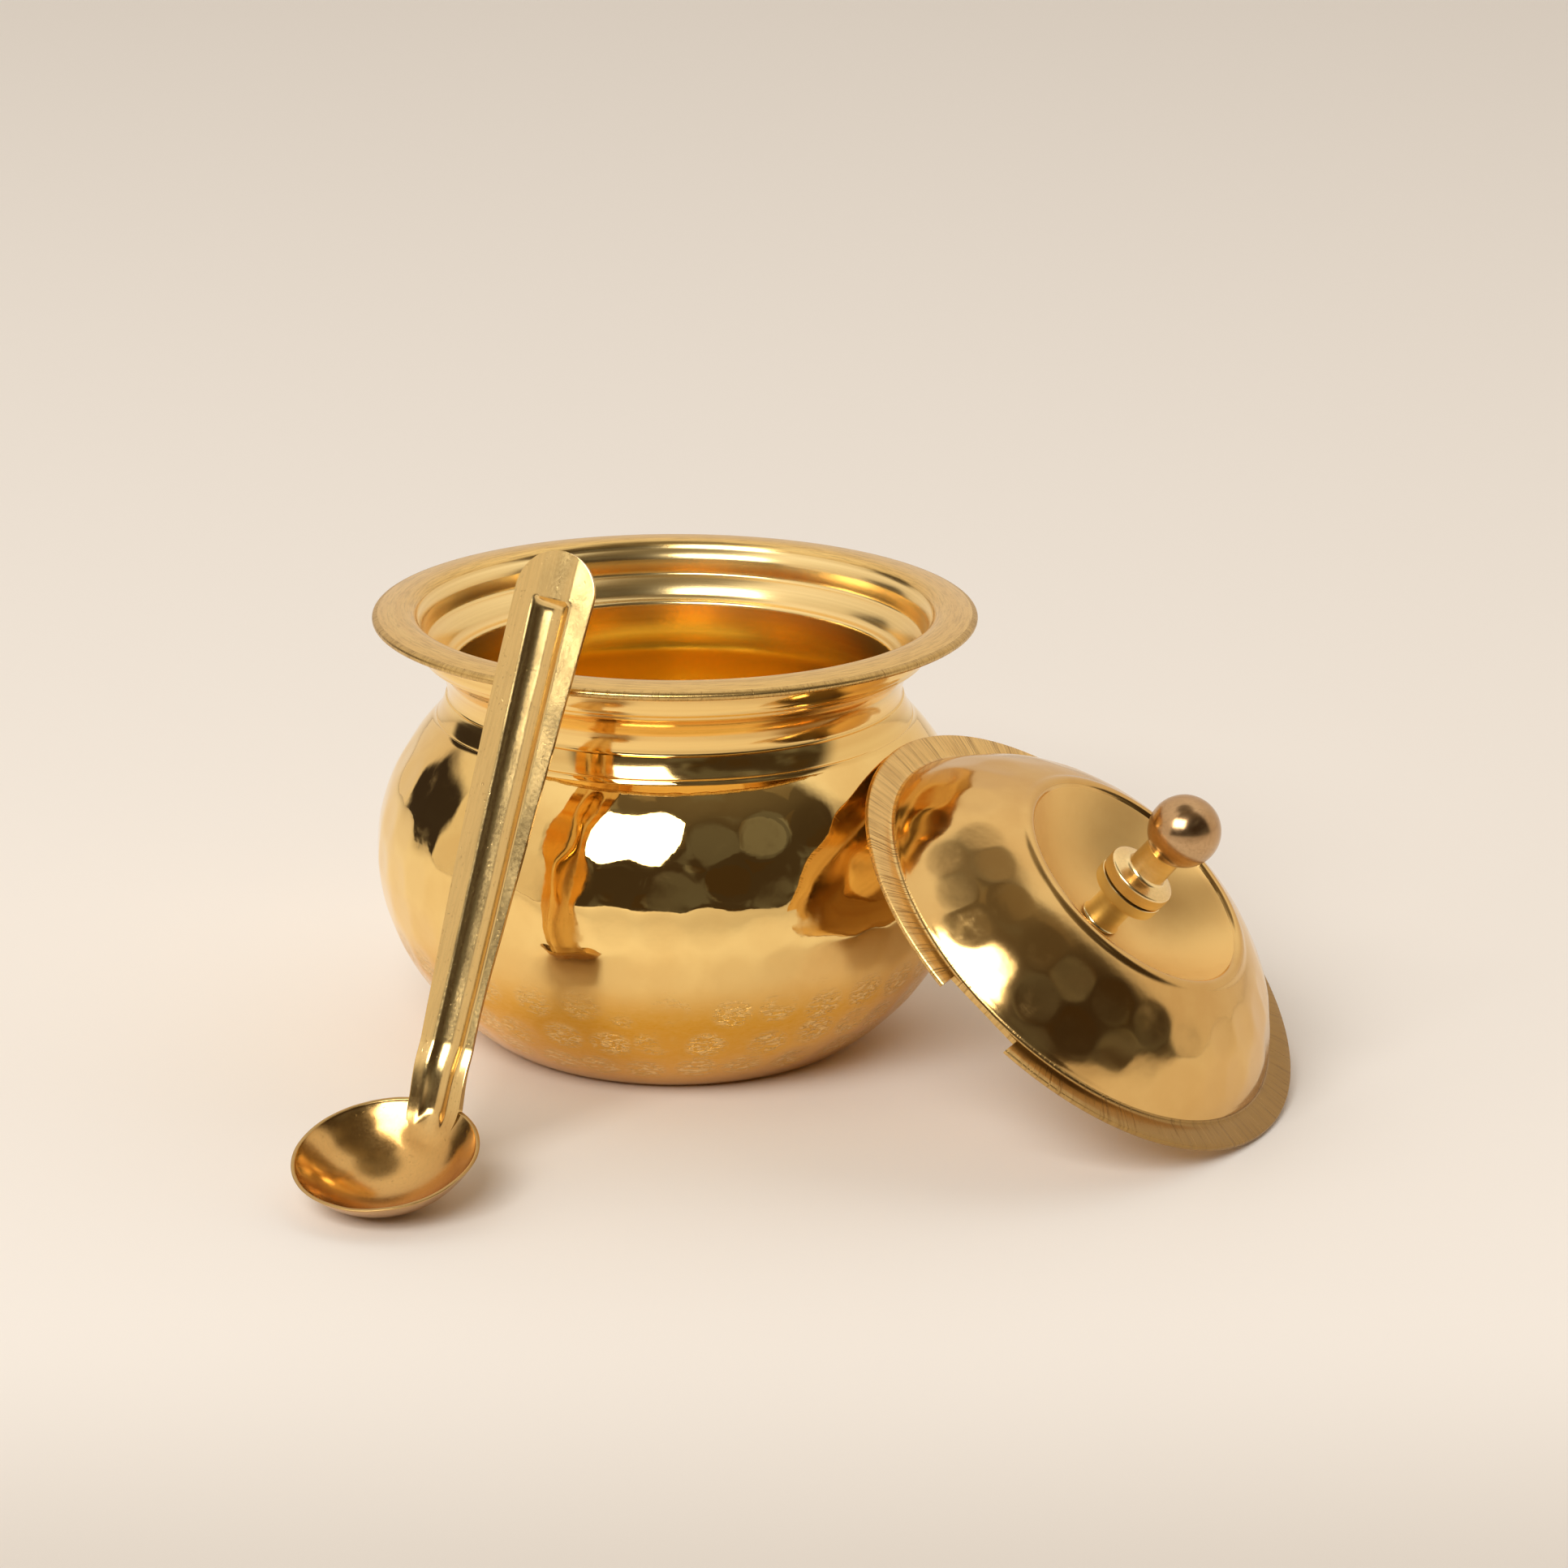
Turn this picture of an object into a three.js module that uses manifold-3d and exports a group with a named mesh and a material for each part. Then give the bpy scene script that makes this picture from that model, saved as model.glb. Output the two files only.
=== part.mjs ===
// Ghee pot in hammered brass, shown open: the lid leans on the pot's shoulder and the spoon on its rim.
// Millimetres, +Z up. The pot's axis is the Z axis, and pot, lid and spoon all stand on z = 0.

import * as THREE from "three";
import { mergeVertices } from "three/addons/utils/BufferGeometryUtils.js";
import Module from "manifold-3d";

// Driving dimensions of the pot

const potHeight = 66;
const bellyRadius = 44.9;
const bellyDrop = 37.2; // from the top of the pot down to the belly's widest line
const curveDrop = 7.7; // from the base down to the end of the ellipse that the lower belly follows
const potWall = 1.2;
const baseEdgeRound = 1.3;
const shoulderDrop = 16.4; // from the top of the pot down to the end of the belly's curve
const beadBulge = 0.15;
const beadHeight = 1.1;
const neckRadius = 34.05; // outer face at the narrowest place
const shoulderStep = 1.7; // from the neck out to the end of the belly's curve
const neckStepDrop = 13.1;
const neckStepDepth = 0.3;
const coveFootDrop = 12.3;
const seatRadius = 37.2; // inner face of the upright wall just under the lip
const seatDrop = 5.2; // from the top down to the ledge inside that wall
const ledgeHeight = 3.1;
const ledgeWidth = 3.6;
const mouthRadius = 38.7; // inner edge of the lip's top
const mouthRound = 1.4;
const rimRadius = 45; // outer edge of the lip
const rimEdgeHeight = 1;
const rimCrown = 0.35; // fall of the lip's top from its inner edge to its outer edge
const rimEdgeRound = 0.4;
const rimUndercut = 4.2; // run of the lip's thin underside, inwards from its outer edge

// Driving dimensions of the lid

const lidClearance = 0.3; // between the lid's edge and the pot's mouth, all round
const lidSheet = 0.8;
const flangeWidth = 4.9; // from the dome's foot out to the lid's edge
const domeFootStep = 0.7;
const domeHeight = 13.3; // from the middle of the flange's sheet to the crest
const crestRadius = 18.7;
const crestRound = 1.5;
const dishDepth = 9.1; // from the crest down to the dish's floor
const knobSeatRadius = 4.2; // flat floor in the middle of the dish
const notchDepth = 4.3;
const notchClearance = 0.3;
const domeFullnessShare = 0.16; // how far the dome bulges over a straight cone, as a share of its slope

// Driving dimensions of the knob

const stemRadius = 2.8;
const stemLength = 5.7;
const collarRadius = 5.3;
const lowerCollarHeight = 2;
const upperCollarHeight = 2.1;
const collarBevel = 0.35;
const knobNeckRadius = 2.95;
const knobNeckLength = 5.1;
const ballRadius = 5.25;
const shankRadius = 1.9;
const shankClearance = 0.3;
const tailRadius = 3.2;
const tailHeight = 1.1;
const spigotRadius = 1.5;
const spigotLength = 3.4;

// Driving dimensions of the spoon

const bowlRadius = 13.2;
const bowlDepth = 7.2;
const spoonSheet = 0.8;
const handleReach = 6.9; // by how much the handle is longer than the pot is high
const handleFootWidth = 8.4;
const footSweep = 1.7; // how far the handle's foot stands to one side of its middle line
const sweepHeight = 38; // where the handle's longer edge turns towards the foot
const flareHeight = 20; // where its other edge starts to flare out to the foot
const tipRadius = 6.1;
const channelFootRadius = 2.85;
const channelTopRadius = 3.4;
const channelSweep = 1.5; // how far the channel's foot stands to one side
const channelAxisOffset = 1.9; // from the handle's front face to the axis of the round channel
const channelStop = 0.9; // from the channel's end to the middle of the round end
const handleRoot = 2.6; // how far the handle's sheet runs down into the bowl's wall

// Resting places

const restGap = 0.3;
const leanDrop = 0.75; // from the end of the belly's curve down to where the lid's edge leans on it
const lidAzimuth = THREE.MathUtils.degToRad(-28.1);
const spoonAzimuth = THREE.MathUtils.degToRad(65.1); // from the bowl towards the pot, seen from above
const bowlTilt = THREE.MathUtils.degToRad(15.2);
const handleRise = THREE.MathUtils.degToRad(53.3); // between the bowl's plane and the handle
const handleSet = THREE.MathUtils.degToRad(5.6); // the handle's sideways set in its own plane

// Fineness of the round shapes

const potSteps = 60;
const lidSteps = 60;
const knobSteps = 32;
const bowlSteps = 44;
const cutOverrun = 2; // how far a cutting solid runs past what it cuts

const wasm = await Module();
wasm.setup();

const quarterTurn = Math.PI / 2;

// Booleans

function solidOf(geometry) {
  const bare = geometry.clone();
  bare.deleteAttribute("normal");
  bare.deleteAttribute("uv");
  const merged = mergeVertices(bare);
  const mesh = new wasm.Mesh({
    numProp: 3,
    vertProperties: merged.attributes.position.array,
    triVerts: merged.index.array,
  });
  return new wasm.Manifold(mesh);
}

function geometryOf(solid) {
  const mesh = solid.getMesh();
  const geometry = new THREE.BufferGeometry();
  geometry.setAttribute("position", new THREE.BufferAttribute(mesh.vertProperties, mesh.numProp));
  geometry.setIndex(new THREE.BufferAttribute(mesh.triVerts, 1));
  return geometry;
}

// Outlines, as points of radius and height

function point(radius, height) {
  return new THREE.Vector2(radius, height);
}

function bend(from, corner, to, steps) {
  return new THREE.QuadraticBezierCurve(from, corner, to).getPoints(steps);
}

function arc(centre, radiusAcross, radiusUp, fromAngle, toAngle, steps) {
  const clockwise = toAngle < fromAngle;
  const ellipse = new THREE.EllipseCurve(
    centre.x,
    centre.y,
    radiusAcross,
    radiusUp,
    fromAngle,
    toAngle,
    clockwise,
  );
  return ellipse.getPoints(steps);
}

// The points of an outline moved sideways, to the right of the way that it runs.
function offset(points, distance) {
  return points.map((here, index) => {
    const before = points[Math.max(index - 1, 0)];
    const after = points[Math.min(index + 1, points.length - 1)];
    const run = after.clone().sub(before).normalize();
    return point(here.x + run.y * distance, here.y - run.x * distance);
  });
}

// A solid of revolution round the Z axis. The outline runs anticlockwise, with its heights upwards.
function turned(outline, steps) {
  const lathe = new THREE.LatheGeometry(outline, steps);
  return lathe.rotateX(quarterTurn);
}

function closed(outline) {
  return [...outline, outline[0].clone()];
}

// Pot

const bellyHeight = potHeight - bellyDrop;
const lowerBellyRise = bellyHeight + curveDrop;
const shoulderHeight = potHeight - shoulderDrop;
const shoulderRadius = neckRadius + shoulderStep;
const upperBellyRise = (shoulderHeight - bellyHeight) / Math.sin(Math.acos(shoulderRadius / bellyRadius));

// Angle on the ellipse of the belly at a height, from its widest line.
function bellyAngle(height, wall) {
  const rise = (height < bellyHeight ? lowerBellyRise : upperBellyRise) - wall;
  return Math.asin((height - bellyHeight) / rise);
}

function bellyRadiusAt(height) {
  return bellyRadius * Math.cos(bellyAngle(height, 0));
}

function bellyArc(fromHeight, toHeight, wall, steps) {
  const middle = (fromHeight + toHeight) / 2;
  const rise = (middle < bellyHeight ? lowerBellyRise : upperBellyRise) - wall;
  const fromAngle = fromHeight === bellyHeight ? 0 : bellyAngle(fromHeight, wall);
  const toAngle = toHeight === bellyHeight ? 0 : bellyAngle(toHeight, wall);
  return arc(point(0, bellyHeight), bellyRadius - wall, rise, fromAngle, toAngle, steps);
}

function potOuterOutline() {
  const beadTop = shoulderHeight + beadHeight;
  const stepHeight = potHeight - neckStepDrop;
  const coveFoot = potHeight - coveFootDrop;
  const ledgeTop = potHeight - seatDrop;
  const coveHeadRadius = seatRadius + potWall;
  const lipFoot = potHeight - rimCrown - rimEdgeHeight;
  const lipRoot = point(rimRadius - rimUndercut, lipFoot - rimEdgeRound);
  const baseRadius = bellyRadiusAt(0) - baseEdgeRound;
  return [
    point(0, 0),
    ...bend(
      point(baseRadius, 0),
      point(bellyRadiusAt(0), 0),
      point(bellyRadiusAt(baseEdgeRound), baseEdgeRound),
      3,
    ),
    ...bellyArc(baseEdgeRound, bellyHeight, 0, 9).slice(1),
    ...bellyArc(bellyHeight, shoulderHeight, 0, 8).slice(1),
    ...bend(
      point(shoulderRadius, shoulderHeight),
      point(shoulderRadius + beadBulge, beadTop),
      point(neckRadius + neckStepDepth, beadTop),
      4,
    ).slice(1),
    point(neckRadius + neckStepDepth, stepHeight - neckStepDepth),
    point(neckRadius, stepHeight),
    ...bend(
      point(neckRadius, coveFoot),
      point(neckRadius, (coveFoot + ledgeTop) / 2),
      point(coveHeadRadius - neckStepDepth, ledgeTop - potWall),
      7,
    ),
    ...bend(
      point(coveHeadRadius, ledgeTop),
      point(coveHeadRadius + neckStepDepth, lipRoot.y),
      lipRoot,
      4,
    ),
    ...bend(
      point(rimRadius - rimEdgeRound, lipFoot),
      point(rimRadius, lipFoot),
      point(rimRadius, lipFoot + rimEdgeRound),
      2,
    ),
    point(rimRadius, potHeight - rimCrown - rimEdgeRound),
  ];
}

function potInnerOutline() {
  const ledgeTop = potHeight - seatDrop;
  const ledgeFoot = ledgeTop - ledgeHeight;
  const neckInner = neckRadius - potWall;
  const throatHeight = shoulderHeight + beadHeight;
  const floorHeight = potWall;
  return [
    ...bend(
      point(rimRadius - rimEdgeRound, potHeight - rimCrown),
      point((rimRadius + mouthRadius) / 2, potHeight),
      point(mouthRadius + mouthRound / 2, potHeight),
      3,
    ),
    ...bend(
      point(mouthRadius, potHeight - mouthRound / 2),
      point(seatRadius, potHeight - mouthRound),
      point(seatRadius, potHeight - 2 * mouthRound),
      3,
    ),
    point(seatRadius, ledgeTop + neckStepDepth),
    ...bend(
      point(seatRadius - neckStepDepth, ledgeTop),
      point(seatRadius - ledgeWidth, ledgeTop - ledgeHeight / 2),
      point(neckInner + neckStepDepth, ledgeFoot),
      4,
    ),
    point(neckInner, ledgeFoot - neckStepDepth),
    ...bellyArc(throatHeight, bellyHeight, potWall, 7),
    ...bellyArc(bellyHeight, floorHeight, potWall, 7).slice(1),
    point(0, floorHeight),
  ];
}

function makePotBody() {
  return turned([...potOuterOutline(), ...potInnerOutline()], potSteps);
}

// Lid, standing on its own flange with its axis on Z and the middle of the flange's sheet at height 0

const lidRadius = mouthRadius - lidClearance;
const domeFootRadius = lidRadius - flangeWidth;
const dishFloor = domeHeight - dishDepth;
const notchWidth = 2 * tipRadius + notchClearance;

function lidTopOutline() {
  const halfSheet = lidSheet / 2;
  const domeFoot = point(domeFootRadius, halfSheet + domeFootStep);
  const crestOuter = point(crestRadius + crestRound, domeHeight - crestRound / 2);
  const crestInner = point(crestRadius - crestRound / 2, domeHeight - crestRound / 2);
  const fullness = domeFullnessShare * domeHeight;
  const domeCorner = domeFoot.clone().add(crestOuter).divideScalar(2);
  domeCorner.add(point(fullness, fullness));
  return [
    point(lidRadius, halfSheet),
    point(domeFootRadius + domeFootStep, halfSheet),
    ...bend(domeFoot, domeCorner, crestOuter, 7),
    ...bend(crestOuter, point(crestRadius, domeHeight + crestRound / 4), crestInner, 5).slice(1),
    ...bend(
      crestInner,
      point((crestInner.x + knobSeatRadius) / 2, dishFloor + crestRound / 2),
      point(knobSeatRadius, dishFloor),
      7,
    ).slice(1),
  ];
}

function makeLidShell() {
  const holeRadius = shankRadius + shankClearance;
  const top = lidTopOutline();
  const underside = offset(top, -lidSheet).reverse();
  const flangeUnder = point(lidRadius, -lidSheet / 2);
  const floorUnder = dishFloor - lidSheet;
  const outline = closed([
    point(holeRadius, floorUnder),
    point(knobSeatRadius, floorUnder),
    ...underside.slice(1, -1),
    flangeUnder,
    ...top,
    point(holeRadius, dishFloor),
  ]);
  const shell = solidOf(turned(outline, lidSteps));
  const notchBlock = new THREE.BoxGeometry(notchWidth, notchDepth + cutOverrun, domeHeight);
  notchBlock.translate(0, (cutOverrun + notchDepth) / 2 - lidRadius - cutOverrun, 0);
  return geometryOf(shell.subtract(solidOf(notchBlock)));
}

// Knob, in the lid's own frame

const stemFoot = dishFloor + restGap;
const lowerCollarFoot = stemFoot + stemLength;
const lowerCollarTop = lowerCollarFoot + lowerCollarHeight;
const upperCollarFoot = lowerCollarTop + restGap;
const upperCollarTop = upperCollarFoot + upperCollarHeight;
const ballFoot = upperCollarTop + knobNeckLength;
const ballCentre = ballFoot + Math.sqrt(ballRadius ** 2 - knobNeckRadius ** 2);

function makeKnobStem() {
  const tailTop = dishFloor - lidSheet - restGap;
  const tailFoot = tailTop - tailHeight;
  return turned(
    [
      point(0, tailFoot),
      ...bend(point(shankRadius, tailFoot), point(tailRadius, tailFoot), point(tailRadius, tailTop), 4),
      point(shankRadius, tailTop),
      point(shankRadius, stemFoot),
      point(stemRadius, stemFoot),
      point(stemRadius, lowerCollarFoot),
      point(collarRadius - collarBevel, lowerCollarFoot),
      point(collarRadius, lowerCollarFoot + collarBevel),
      point(collarRadius, lowerCollarTop),
      point(spigotRadius, lowerCollarTop),
      point(spigotRadius, lowerCollarTop + spigotLength),
      point(0, lowerCollarTop + spigotLength),
    ],
    knobSteps,
  );
}

function makeKnobBall() {
  const boreRadius = spigotRadius + restGap;
  const boreTop = lowerCollarTop + spigotLength + restGap;
  const neckAngle = Math.acos(knobNeckRadius / ballRadius);
  return turned(
    [
      point(0, boreTop),
      point(boreRadius, boreTop),
      point(boreRadius, upperCollarFoot),
      point(collarRadius, upperCollarFoot),
      point(collarRadius, upperCollarTop - collarBevel),
      point(collarRadius - collarBevel, upperCollarTop),
      point(knobNeckRadius, upperCollarTop + collarBevel),
      ...arc(point(0, ballCentre), ballRadius, ballRadius, -neckAngle, quarterTurn, 16),
    ],
    knobSteps,
  );
}

// Spoon, with the middle of its bowl's rim at the origin, the rim level and the handle towards +X

const bowlSphereRadius = (bowlRadius ** 2 + bowlDepth ** 2) / (2 * bowlDepth);
const bowlSphereHeight = bowlSphereRadius - bowlDepth;
const handleLength = potHeight + handleReach; // from the bowl's rim to the middle of the round end

function makeBowl() {
  const rimAngle = -Math.asin(bowlSphereHeight / bowlSphereRadius);
  const centre = point(0, bowlSphereHeight);
  const innerRadius = bowlSphereRadius - spoonSheet;
  const outer = arc(centre, bowlSphereRadius, bowlSphereRadius, -quarterTurn, rimAngle, 10);
  const inner = arc(centre, innerRadius, innerRadius, rimAngle, -quarterTurn, 10);
  return solidOf(turned([...outer, ...inner], bowlSteps));
}

// The handle's own frame: Z along it from the bowl's rim, Y out of its front face, X across it.
function handleFrame() {
  const along = new THREE.Vector3(Math.cos(handleRise), 0, Math.sin(handleRise));
  const front = new THREE.Vector3(-Math.sin(handleRise), 0, Math.cos(handleRise));
  const across = new THREE.Vector3().crossVectors(front, along);
  const frame = new THREE.Matrix4().makeBasis(across, front, along);
  frame.multiply(new THREE.Matrix4().makeRotationY(-handleSet));
  frame.setPosition(bowlRadius - spoonSheet / 2, 0, 0);
  return frame;
}

function handleOutline() {
  const halfFoot = handleFootWidth / 2;
  const taper = (tipRadius - halfFoot) / handleLength;
  const shortFoot = halfFoot - footSweep;
  const wideFoot = halfFoot + footSweep;
  const outline = new THREE.Shape();
  outline.moveTo(-wideFoot, -handleRoot);
  outline.lineTo(shortFoot, -handleRoot);
  outline.lineTo(shortFoot, 0);
  outline.quadraticCurveTo(tipRadius - footSweep / 4, sweepHeight, tipRadius, handleLength);
  outline.absarc(0, handleLength, tipRadius, 0, Math.PI, false);
  outline.lineTo(-halfFoot - taper * flareHeight, flareHeight);
  outline.quadraticCurveTo(-halfFoot - (taper * flareHeight) / 2, flareHeight / 2, -wideFoot, 0);
  outline.closePath();
  return outline;
}

function channelRadiusAt(height) {
  return channelFootRadius + ((channelTopRadius - channelFootRadius) * height) / handleLength;
}

// A tapered rod along the channel, as thick as the channel is round plus a wall, between two heights.
function channelRod(wall, fromHeight, toHeight) {
  const radiusAt = (height) => channelRadiusAt(height) + wall;
  const rod = turned(
    [
      point(0, fromHeight),
      point(radiusAt(fromHeight), fromHeight),
      point(radiusAt(toHeight), toHeight),
      point(0, toHeight),
    ],
    knobSteps,
  );
  rod.translate(0, 0, -handleLength);
  rod.rotateY(Math.atan(channelSweep / handleLength));
  return solidOf(rod.translate(0, channelAxisOffset, handleLength));
}

function makeHandle() {
  const plateGeometry = new THREE.ExtrudeGeometry(handleOutline(), {
    depth: spoonSheet,
    bevelEnabled: false,
    curveSegments: 10,
  });
  const plate = solidOf(plateGeometry.rotateX(quarterTurn));
  const channelTop = handleLength - channelStop;
  const behind = new THREE.BoxGeometry(4 * tipRadius, 2 * tipRadius, 3 * handleLength);
  behind.translate(0, -tipRadius - spoonSheet / 2, 0);
  const trough = channelRod(spoonSheet, -handleRoot, channelTop + spoonSheet);
  const groove = channelRod(0, -handleRoot - cutOverrun, channelTop);
  const handle = plate.add(trough.intersect(solidOf(behind))).subtract(groove);
  return geometryOf(handle).applyMatrix4(handleFrame());
}

function makeSpoon() {
  return geometryOf(solidOf(makeHandle()).add(makeBowl()));
}

// Assembly

function named(name, geometry, colour, roughness) {
  const material = new THREE.MeshStandardMaterial({ color: colour, roughness, metalness: 1 });
  const mesh = new THREE.Mesh(geometry, material);
  mesh.name = name;
  return mesh;
}

// The lid leans outwards: its lowest edge stands on z = 0 and its highest edge on the pot's shoulder.
function placeLid(lid) {
  const edgeHeight = shoulderHeight - leanDrop;
  const lidLean = Math.asin(edgeHeight / (2 * lidRadius));
  const halfSheet = lidSheet / 2;
  const shoulderGap = restGap / Math.cos(lidLean);
  const run = lidRadius * Math.cos(lidLean) + halfSheet * Math.sin(lidLean);
  const reach = bellyRadiusAt(edgeHeight) + shoulderGap + run;
  const height = lidRadius * Math.sin(lidLean) + halfSheet * Math.cos(lidLean);
  lid.position.set(reach * Math.cos(lidAzimuth), reach * Math.sin(lidAzimuth), height);
  lid.rotation.set(0, lidLean, lidAzimuth, "ZYX");
}

// The spoon's bowl stands on z = 0 and the back of its channel leans on the outer edge of the pot's lip.
function placeSpoon(spoon) {
  spoon.rotation.set(0, -bowlTilt, spoonAzimuth, "ZYX");
  const turn = new THREE.Quaternion().setFromEuler(spoon.rotation);
  const height = bowlSphereRadius - bowlSphereHeight * Math.cos(bowlTilt);
  const contactHeight = potHeight - rimCrown - rimEdgeRound;
  const frame = handleFrame();
  const foot = behindCrest(0).applyMatrix4(frame).applyQuaternion(turn);
  const head = behindCrest(handleLength).applyMatrix4(frame).applyQuaternion(turn);
  const share = (contactHeight - height - foot.z) / (head.z - foot.z);
  const touch = foot.lerp(head, share);
  const outwards = new THREE.Vector3(-Math.cos(spoonAzimuth), -Math.sin(spoonAzimuth), 0);
  const contact = outwards.multiplyScalar(rimRadius);
  spoon.position.set(contact.x - touch.x, contact.y - touch.y, height);
}

// A point in the handle's frame, just clear of the crest along the back of the channel.
function behindCrest(distance) {
  const depth = channelRadiusAt(distance) + spoonSheet - channelAxisOffset;
  const sideways = channelSweep * (distance / handleLength - 1);
  return new THREE.Vector3(sideways, -depth - restGap, distance);
}

const gheePot = new THREE.Group();
gheePot.add(named("pot_body", makePotBody(), 0xd9a441, 0.22));

const lid = new THREE.Group();
lid.add(named("lid_shell", makeLidShell(), 0xd8ae55, 0.24));
lid.add(named("knob_stem", makeKnobStem(), 0xd6993f, 0.25));
lid.add(named("knob_ball", makeKnobBall(), 0xc98f5f, 0.22));
placeLid(lid);
gheePot.add(lid);

const spoon = new THREE.Group();
spoon.add(named("spoon", makeSpoon(), 0xd9b868, 0.28));
placeSpoon(spoon);
gheePot.add(spoon);

export default gheePot;
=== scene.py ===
"""Looks of a hammered brass ghee pot with its lid and spoon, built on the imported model."""

import math
import random

import bmesh
import bpy
from bpy.props import FloatProperty, FloatVectorProperty, IntProperty, PointerProperty
from mathutils import Matrix, Vector, kdtree, noise


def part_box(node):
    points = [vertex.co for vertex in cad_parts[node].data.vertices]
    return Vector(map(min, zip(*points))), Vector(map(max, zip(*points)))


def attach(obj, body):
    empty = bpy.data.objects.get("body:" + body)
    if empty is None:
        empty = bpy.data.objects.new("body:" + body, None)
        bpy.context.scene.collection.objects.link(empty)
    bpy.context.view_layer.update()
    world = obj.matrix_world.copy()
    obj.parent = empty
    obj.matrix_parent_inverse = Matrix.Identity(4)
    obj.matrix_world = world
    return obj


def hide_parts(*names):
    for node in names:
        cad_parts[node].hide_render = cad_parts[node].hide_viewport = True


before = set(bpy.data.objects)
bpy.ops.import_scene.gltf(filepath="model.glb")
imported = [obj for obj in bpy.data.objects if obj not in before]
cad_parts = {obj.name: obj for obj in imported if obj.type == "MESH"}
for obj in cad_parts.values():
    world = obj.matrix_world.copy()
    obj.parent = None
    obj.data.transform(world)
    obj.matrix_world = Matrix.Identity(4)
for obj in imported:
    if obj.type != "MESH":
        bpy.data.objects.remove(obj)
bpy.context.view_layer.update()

bl_info = {
    "name": "Ghee Pot",
    "version": (1, 0, 0),
    "blender": (4, 5, 0),
    "location": "View3D > Sidebar > Ghee Pot",
    "description": "Hammered brass ghee pot with a leaning lid and spoon",
    "category": "Object",
}

MM = 0.001

# Sizes of the pot, in millimetres, as the solids have them

POT_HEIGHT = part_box("pot_body")[1].z / MM
RIM_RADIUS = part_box("pot_body")[1].x / MM
BELLY_RADIUS = 44.9
BELLY_HEIGHT = POT_HEIGHT - 37.2
LOWER_RISE = BELLY_HEIGHT + 7.7
POT_WALL = 1.2
BASE_ROUND = 1.3
NECK_RADIUS = 34.05
SHOULDER = POT_HEIGHT - 16.4
UPPER_RISE = (SHOULDER - BELLY_HEIGHT) / math.sin(math.acos((NECK_RADIUS + 1.7) / BELLY_RADIUS))
NECK_STEP = POT_HEIGHT - 13.1
LEDGE_TOP = POT_HEIGHT - 5.2
MOUTH_RADIUS = 38.7
SEAT_RADIUS = 37.2
THROAT_RADIUS = 32.85
# The belly is rougher and rippled below the first height, with painted amber shade and painted glints
# there, faded in over the second.
WORN_AND_SHADED_BELOW = 23
WORN_AND_SHADED_FADE = 9
MARK_REACH = 0.56  # a hammer mark's radius, as a share of the marks' pitch

# Sizes of the lid and the knob, in the lid's own frame: middle of the flange's sheet at height 0

LID_RADIUS = 38.4
LID_SHEET = 0.8
LID_LEAN = math.asin((SHOULDER - 0.75) / (2 * LID_RADIUS))
LID_AZIMUTH = math.radians(-28.1)
DOME_FOOT = 33.5
DOME_MARKS = 0.92  # pitch and depth of the dome's hammer marks, as a share of the belly's
CREST_RADIUS = 18.7
CREST_HEIGHT = 13.3
DISH_FLOOR = 4.2
DISH_FLAT = 4.2
HOLE_RADIUS = 2.2
NOTCH_DEPTH = 4.3
NOTCH_WIDTH = 12.5
STEM_FOOT = DISH_FLOOR + 0.3
COLLAR_FOOT = STEM_FOOT + 5.7
COLLAR_TOP = COLLAR_FOOT + 2
UPPER_FOOT = COLLAR_TOP + 0.3
UPPER_TOP = UPPER_FOOT + 2.1
COLLAR_RADIUS = 5.3
STEM_RADIUS = 2.8
SHANK_RADIUS = 1.9
SPIGOT_RADIUS = 1.5
SOCKET_RADIUS = 1.8
BALL_RADIUS = 5.25
BALL_NECK = 2.95

# Sizes of the spoon, in its own frame: middle of the bowl's rim at the origin, handle towards +X

BOWL_RADIUS = 13.2
BOWL_DEPTH = 7.2
BOWL_SPHERE = (BOWL_RADIUS**2 + BOWL_DEPTH**2) / (2 * BOWL_DEPTH)
SPOON_SHEET = 0.8
HANDLE_LENGTH = 72.9
HANDLE_FOOT = 8.4
FOOT_SWEEP = 1.7
SWEEP_HEIGHT = 38
FLARE_HEIGHT = 20
TIP_RADIUS = 6.1
CHANNEL_FOOT = 2.85
CHANNEL_TOP = 3.4
CHANNEL_SWEEP = 1.5
CHANNEL_AXIS = 1.9
CHANNEL_STOP = 0.9
TONGUE = 7
SPOON_AZIMUTH = math.radians(65.1)
BOWL_TILT = math.radians(15.2)
HANDLE_RISE = math.radians(53.3)
HANDLE_SET = math.radians(5.6)
REST_GAP = 0.3

# Steps of the turned shapes, and the angles in degrees above which an edge looks sharp

KNOB_STEPS = 96
BOWL_STEPS = 260
POT_SHARP = 40
LID_SHARP = 32
SPOON_SHARP = 50

# The stage, in metres: the backdrop, the window, and the camera fitted to the photograph's 1932 pixels

BACKDROP_RADIUS = 5.4
BACKDROP_HEIGHT = 3
WINDOW_AZIMUTH = math.radians(-25)
WINDOW_ELEVATION = math.radians(40)
WINDOW_DISTANCE = 2.6
FRAME_WIDTH = 1932
LENS_LENGTH = 5500
LENS_COLUMN = 831.5
CAMERA_PLACE = (0, -0.64103, 0.24129)
CAMERA_DOWN = math.radians(17.591)


# Settings


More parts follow.
